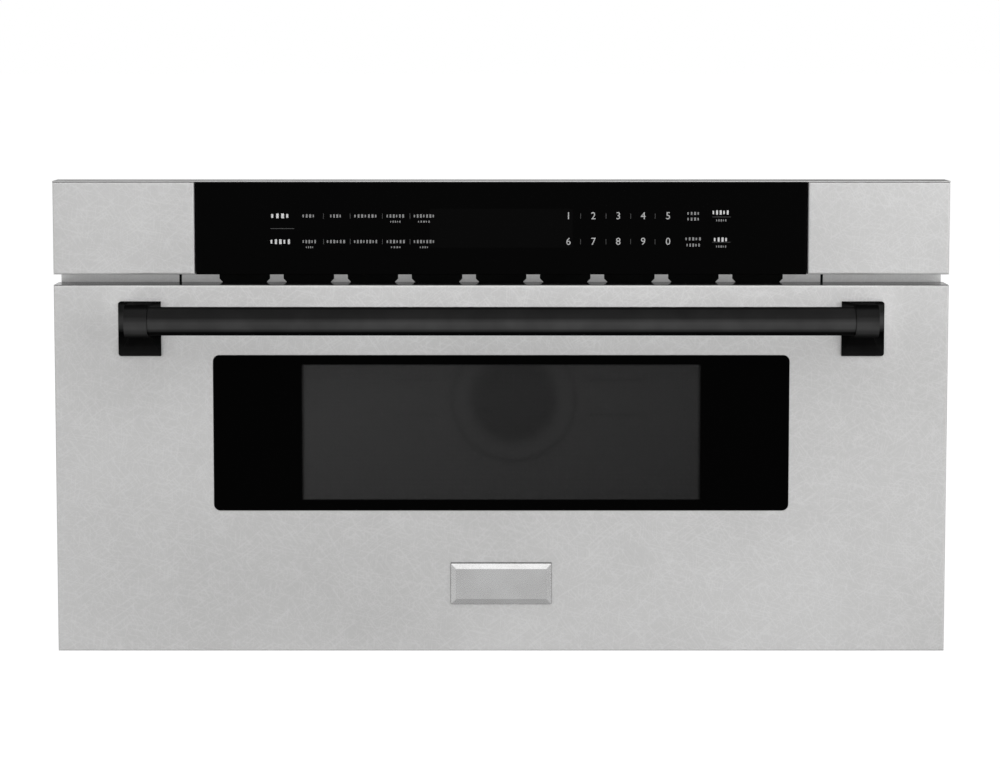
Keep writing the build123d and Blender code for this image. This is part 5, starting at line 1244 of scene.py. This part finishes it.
def makeDigits(looks):
    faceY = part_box("control_glass")[0].y - looks["proud"]
    upright = Matrix.Rotation(math.pi / 2, 4, "X")
    joined = bmesh.new()
    for index in range(10):
        text = bpy.data.curves.new("digit", "FONT")
        text.body = str((index + 1) % 10)
        text.align_x = "CENTER"
        text.align_y = "CENTER"
        text.size = looks["digitHeight"] / looks["capShare"]
        text.resolution_u = 3
        mesh = bakedMesh(addObject("digit", text))
        x = looks["firstDigitX"] + (index % 5) * looks["digitPitch"]
        mesh.transform(Matrix.Translation((x, faceY, looks["rowZ"][index // 5])) @ upright)
        joined.from_mesh(mesh)
        bpy.data.meshes.remove(mesh)
    weld(joined, 1e-7)
    grown = bmesh.ops.extrude_face_region(joined, geom=list(joined.faces))
    shifted = [item for item in grown["geom"] if isinstance(item, bmesh.types.BMVert)]
    bmesh.ops.translate(joined, verts=shifted, vec=(0, looks["thickness"], 0))
    ink = makeInk("digit ink", looks["digitLevel"])
    addPiece("touchDigits", meshFrom("touchDigits", joined), "chassis", "pale_plastic", ink)


makeLegends(legendLooks)
makeDigits(legendLooks)
print("touch glass printed")


# Studio: pale floor, white surroundings, large soft lamps and the camera

studio = {
    "floorZ": -0.0063, "floorHalf": 60.0, "floorColour": 0.92, "floorGlow": 0.8, "glowStrength": 1.165,
    "skyLevel": 0.42, "lampAim": (0, 0.1, 0.2),
    "lamps": (
        ("key", (2.1, -2.1, 1.0), 2.3, 36.0), ("fill", (-2.3, -2.3, 1.0), 2.3, 16.0),
        ("front", (0.1, -2.1, 2.0), 1.7, 18.0), ("top", (0.2, -0.4, 3.2), 2.6, 12.0),
        ("back", (-0.8, 3.0, 1.7), 2.4, 12.0),
    ),
    "cameraX": -0.0099, "cameraDistance": 2.4, "cameraZ": 0.507, "cameraPitch": 5.097, "lens": 102.18,
    "shiftX": 0.0104, "shiftY": -0.08, "sensorWidth": 36.0, "clipEnd": 200.0,
}


def viewedDirectly(tree):
    # 1 for what the camera, a reflection or glass looks at, 0 for light that falls on things
    path = addNode(tree, "ShaderNodeLightPath").outputs
    seen = Value(tree, path["Is Camera Ray"]).apply("MAXIMUM", path["Is Glossy Ray"])
    return seen.apply("MAXIMUM", path["Is Transmission Ray"])


def makeFloor(looks):
    half, z = looks["floorHalf"], looks["floorZ"]
    mesh = bpy.data.meshes.new("floor")
    corners = [(-half, -half, z), (half, -half, z), (half, half, z), (-half, half, z)]
    mesh.from_pydata(corners, [], [(0, 1, 2, 3)])
    floor = addObject("floor", mesh)
    material = bpy.data.materials.new("floor")
    material.use_nodes = True
    tree = material.node_tree
    tree.nodes.remove(tree.nodes["Principled BSDF"])
    matt = addValue(tree, "ShaderNodeBsdfDiffuse", {"Color": grey(looks["floorColour"])})
    glow = addValue(tree, "ShaderNodeEmission", {"Color": grey(1.0), "Strength": looks["glowStrength"]})
    share = viewedDirectly(tree) * looks["floorGlow"]
    mixed = addNode(tree, "ShaderNodeMixShader", {0: share, 1: matt, 2: glow})
    tree.links.new(mixed.outputs[0], tree.nodes["Material Output"].inputs[0])
    mesh.materials.append(material)


def makeSky(looks):
    world = bpy.data.worlds.new("studio")
    scene.world = world
    world.use_nodes = True
    tree = world.node_tree
    light = tree.nodes["Background"]
    light.inputs[0].default_value = grey(1.0)
    light.inputs[1].default_value = looks["skyLevel"]
    white = addValue(tree, "ShaderNodeBackground", {0: grey(1.0), 1: 1.0})
    mixed = addNode(tree, "ShaderNodeMixShader", {0: viewedDirectly(tree), 1: light.outputs[0], 2: white})
    tree.links.new(mixed.outputs[0], tree.nodes["World Output"].inputs[0])


def makeLamps(looks):
    for name, place, size, power in looks["lamps"]:
        data = bpy.data.lights.new(name, "AREA")
        data.shape = "SQUARE"
        data.size = size
        data.energy = power
        lamp = addObject(name, data)
        lamp.location = place
        aim = Vector(looks["lampAim"]) - Vector(place)
        lamp.rotation_euler = aim.to_track_quat("-Z", "Y").to_euler()


def makeCamera(looks):
    data = bpy.data.cameras.new("camera")
    data.lens = looks["lens"]
    data.sensor_width = looks["sensorWidth"]
    data.shift_x = looks["shiftX"]
    data.shift_y = looks["shiftY"]
    data.clip_end = looks["clipEnd"]
    camera = addObject("camera", data)
    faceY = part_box("drawer_skin")[0].y
    camera.location = (looks["cameraX"], faceY - looks["cameraDistance"], looks["cameraZ"])
    camera.rotation_euler = (math.radians(90 - looks["cameraPitch"]), 0, 0)
    scene.camera = camera


makeFloor(studio)
makeSky(studio)
makeLamps(studio)
makeCamera(studio)
scene.view_settings.view_transform = "Standard"
print("studio ready")
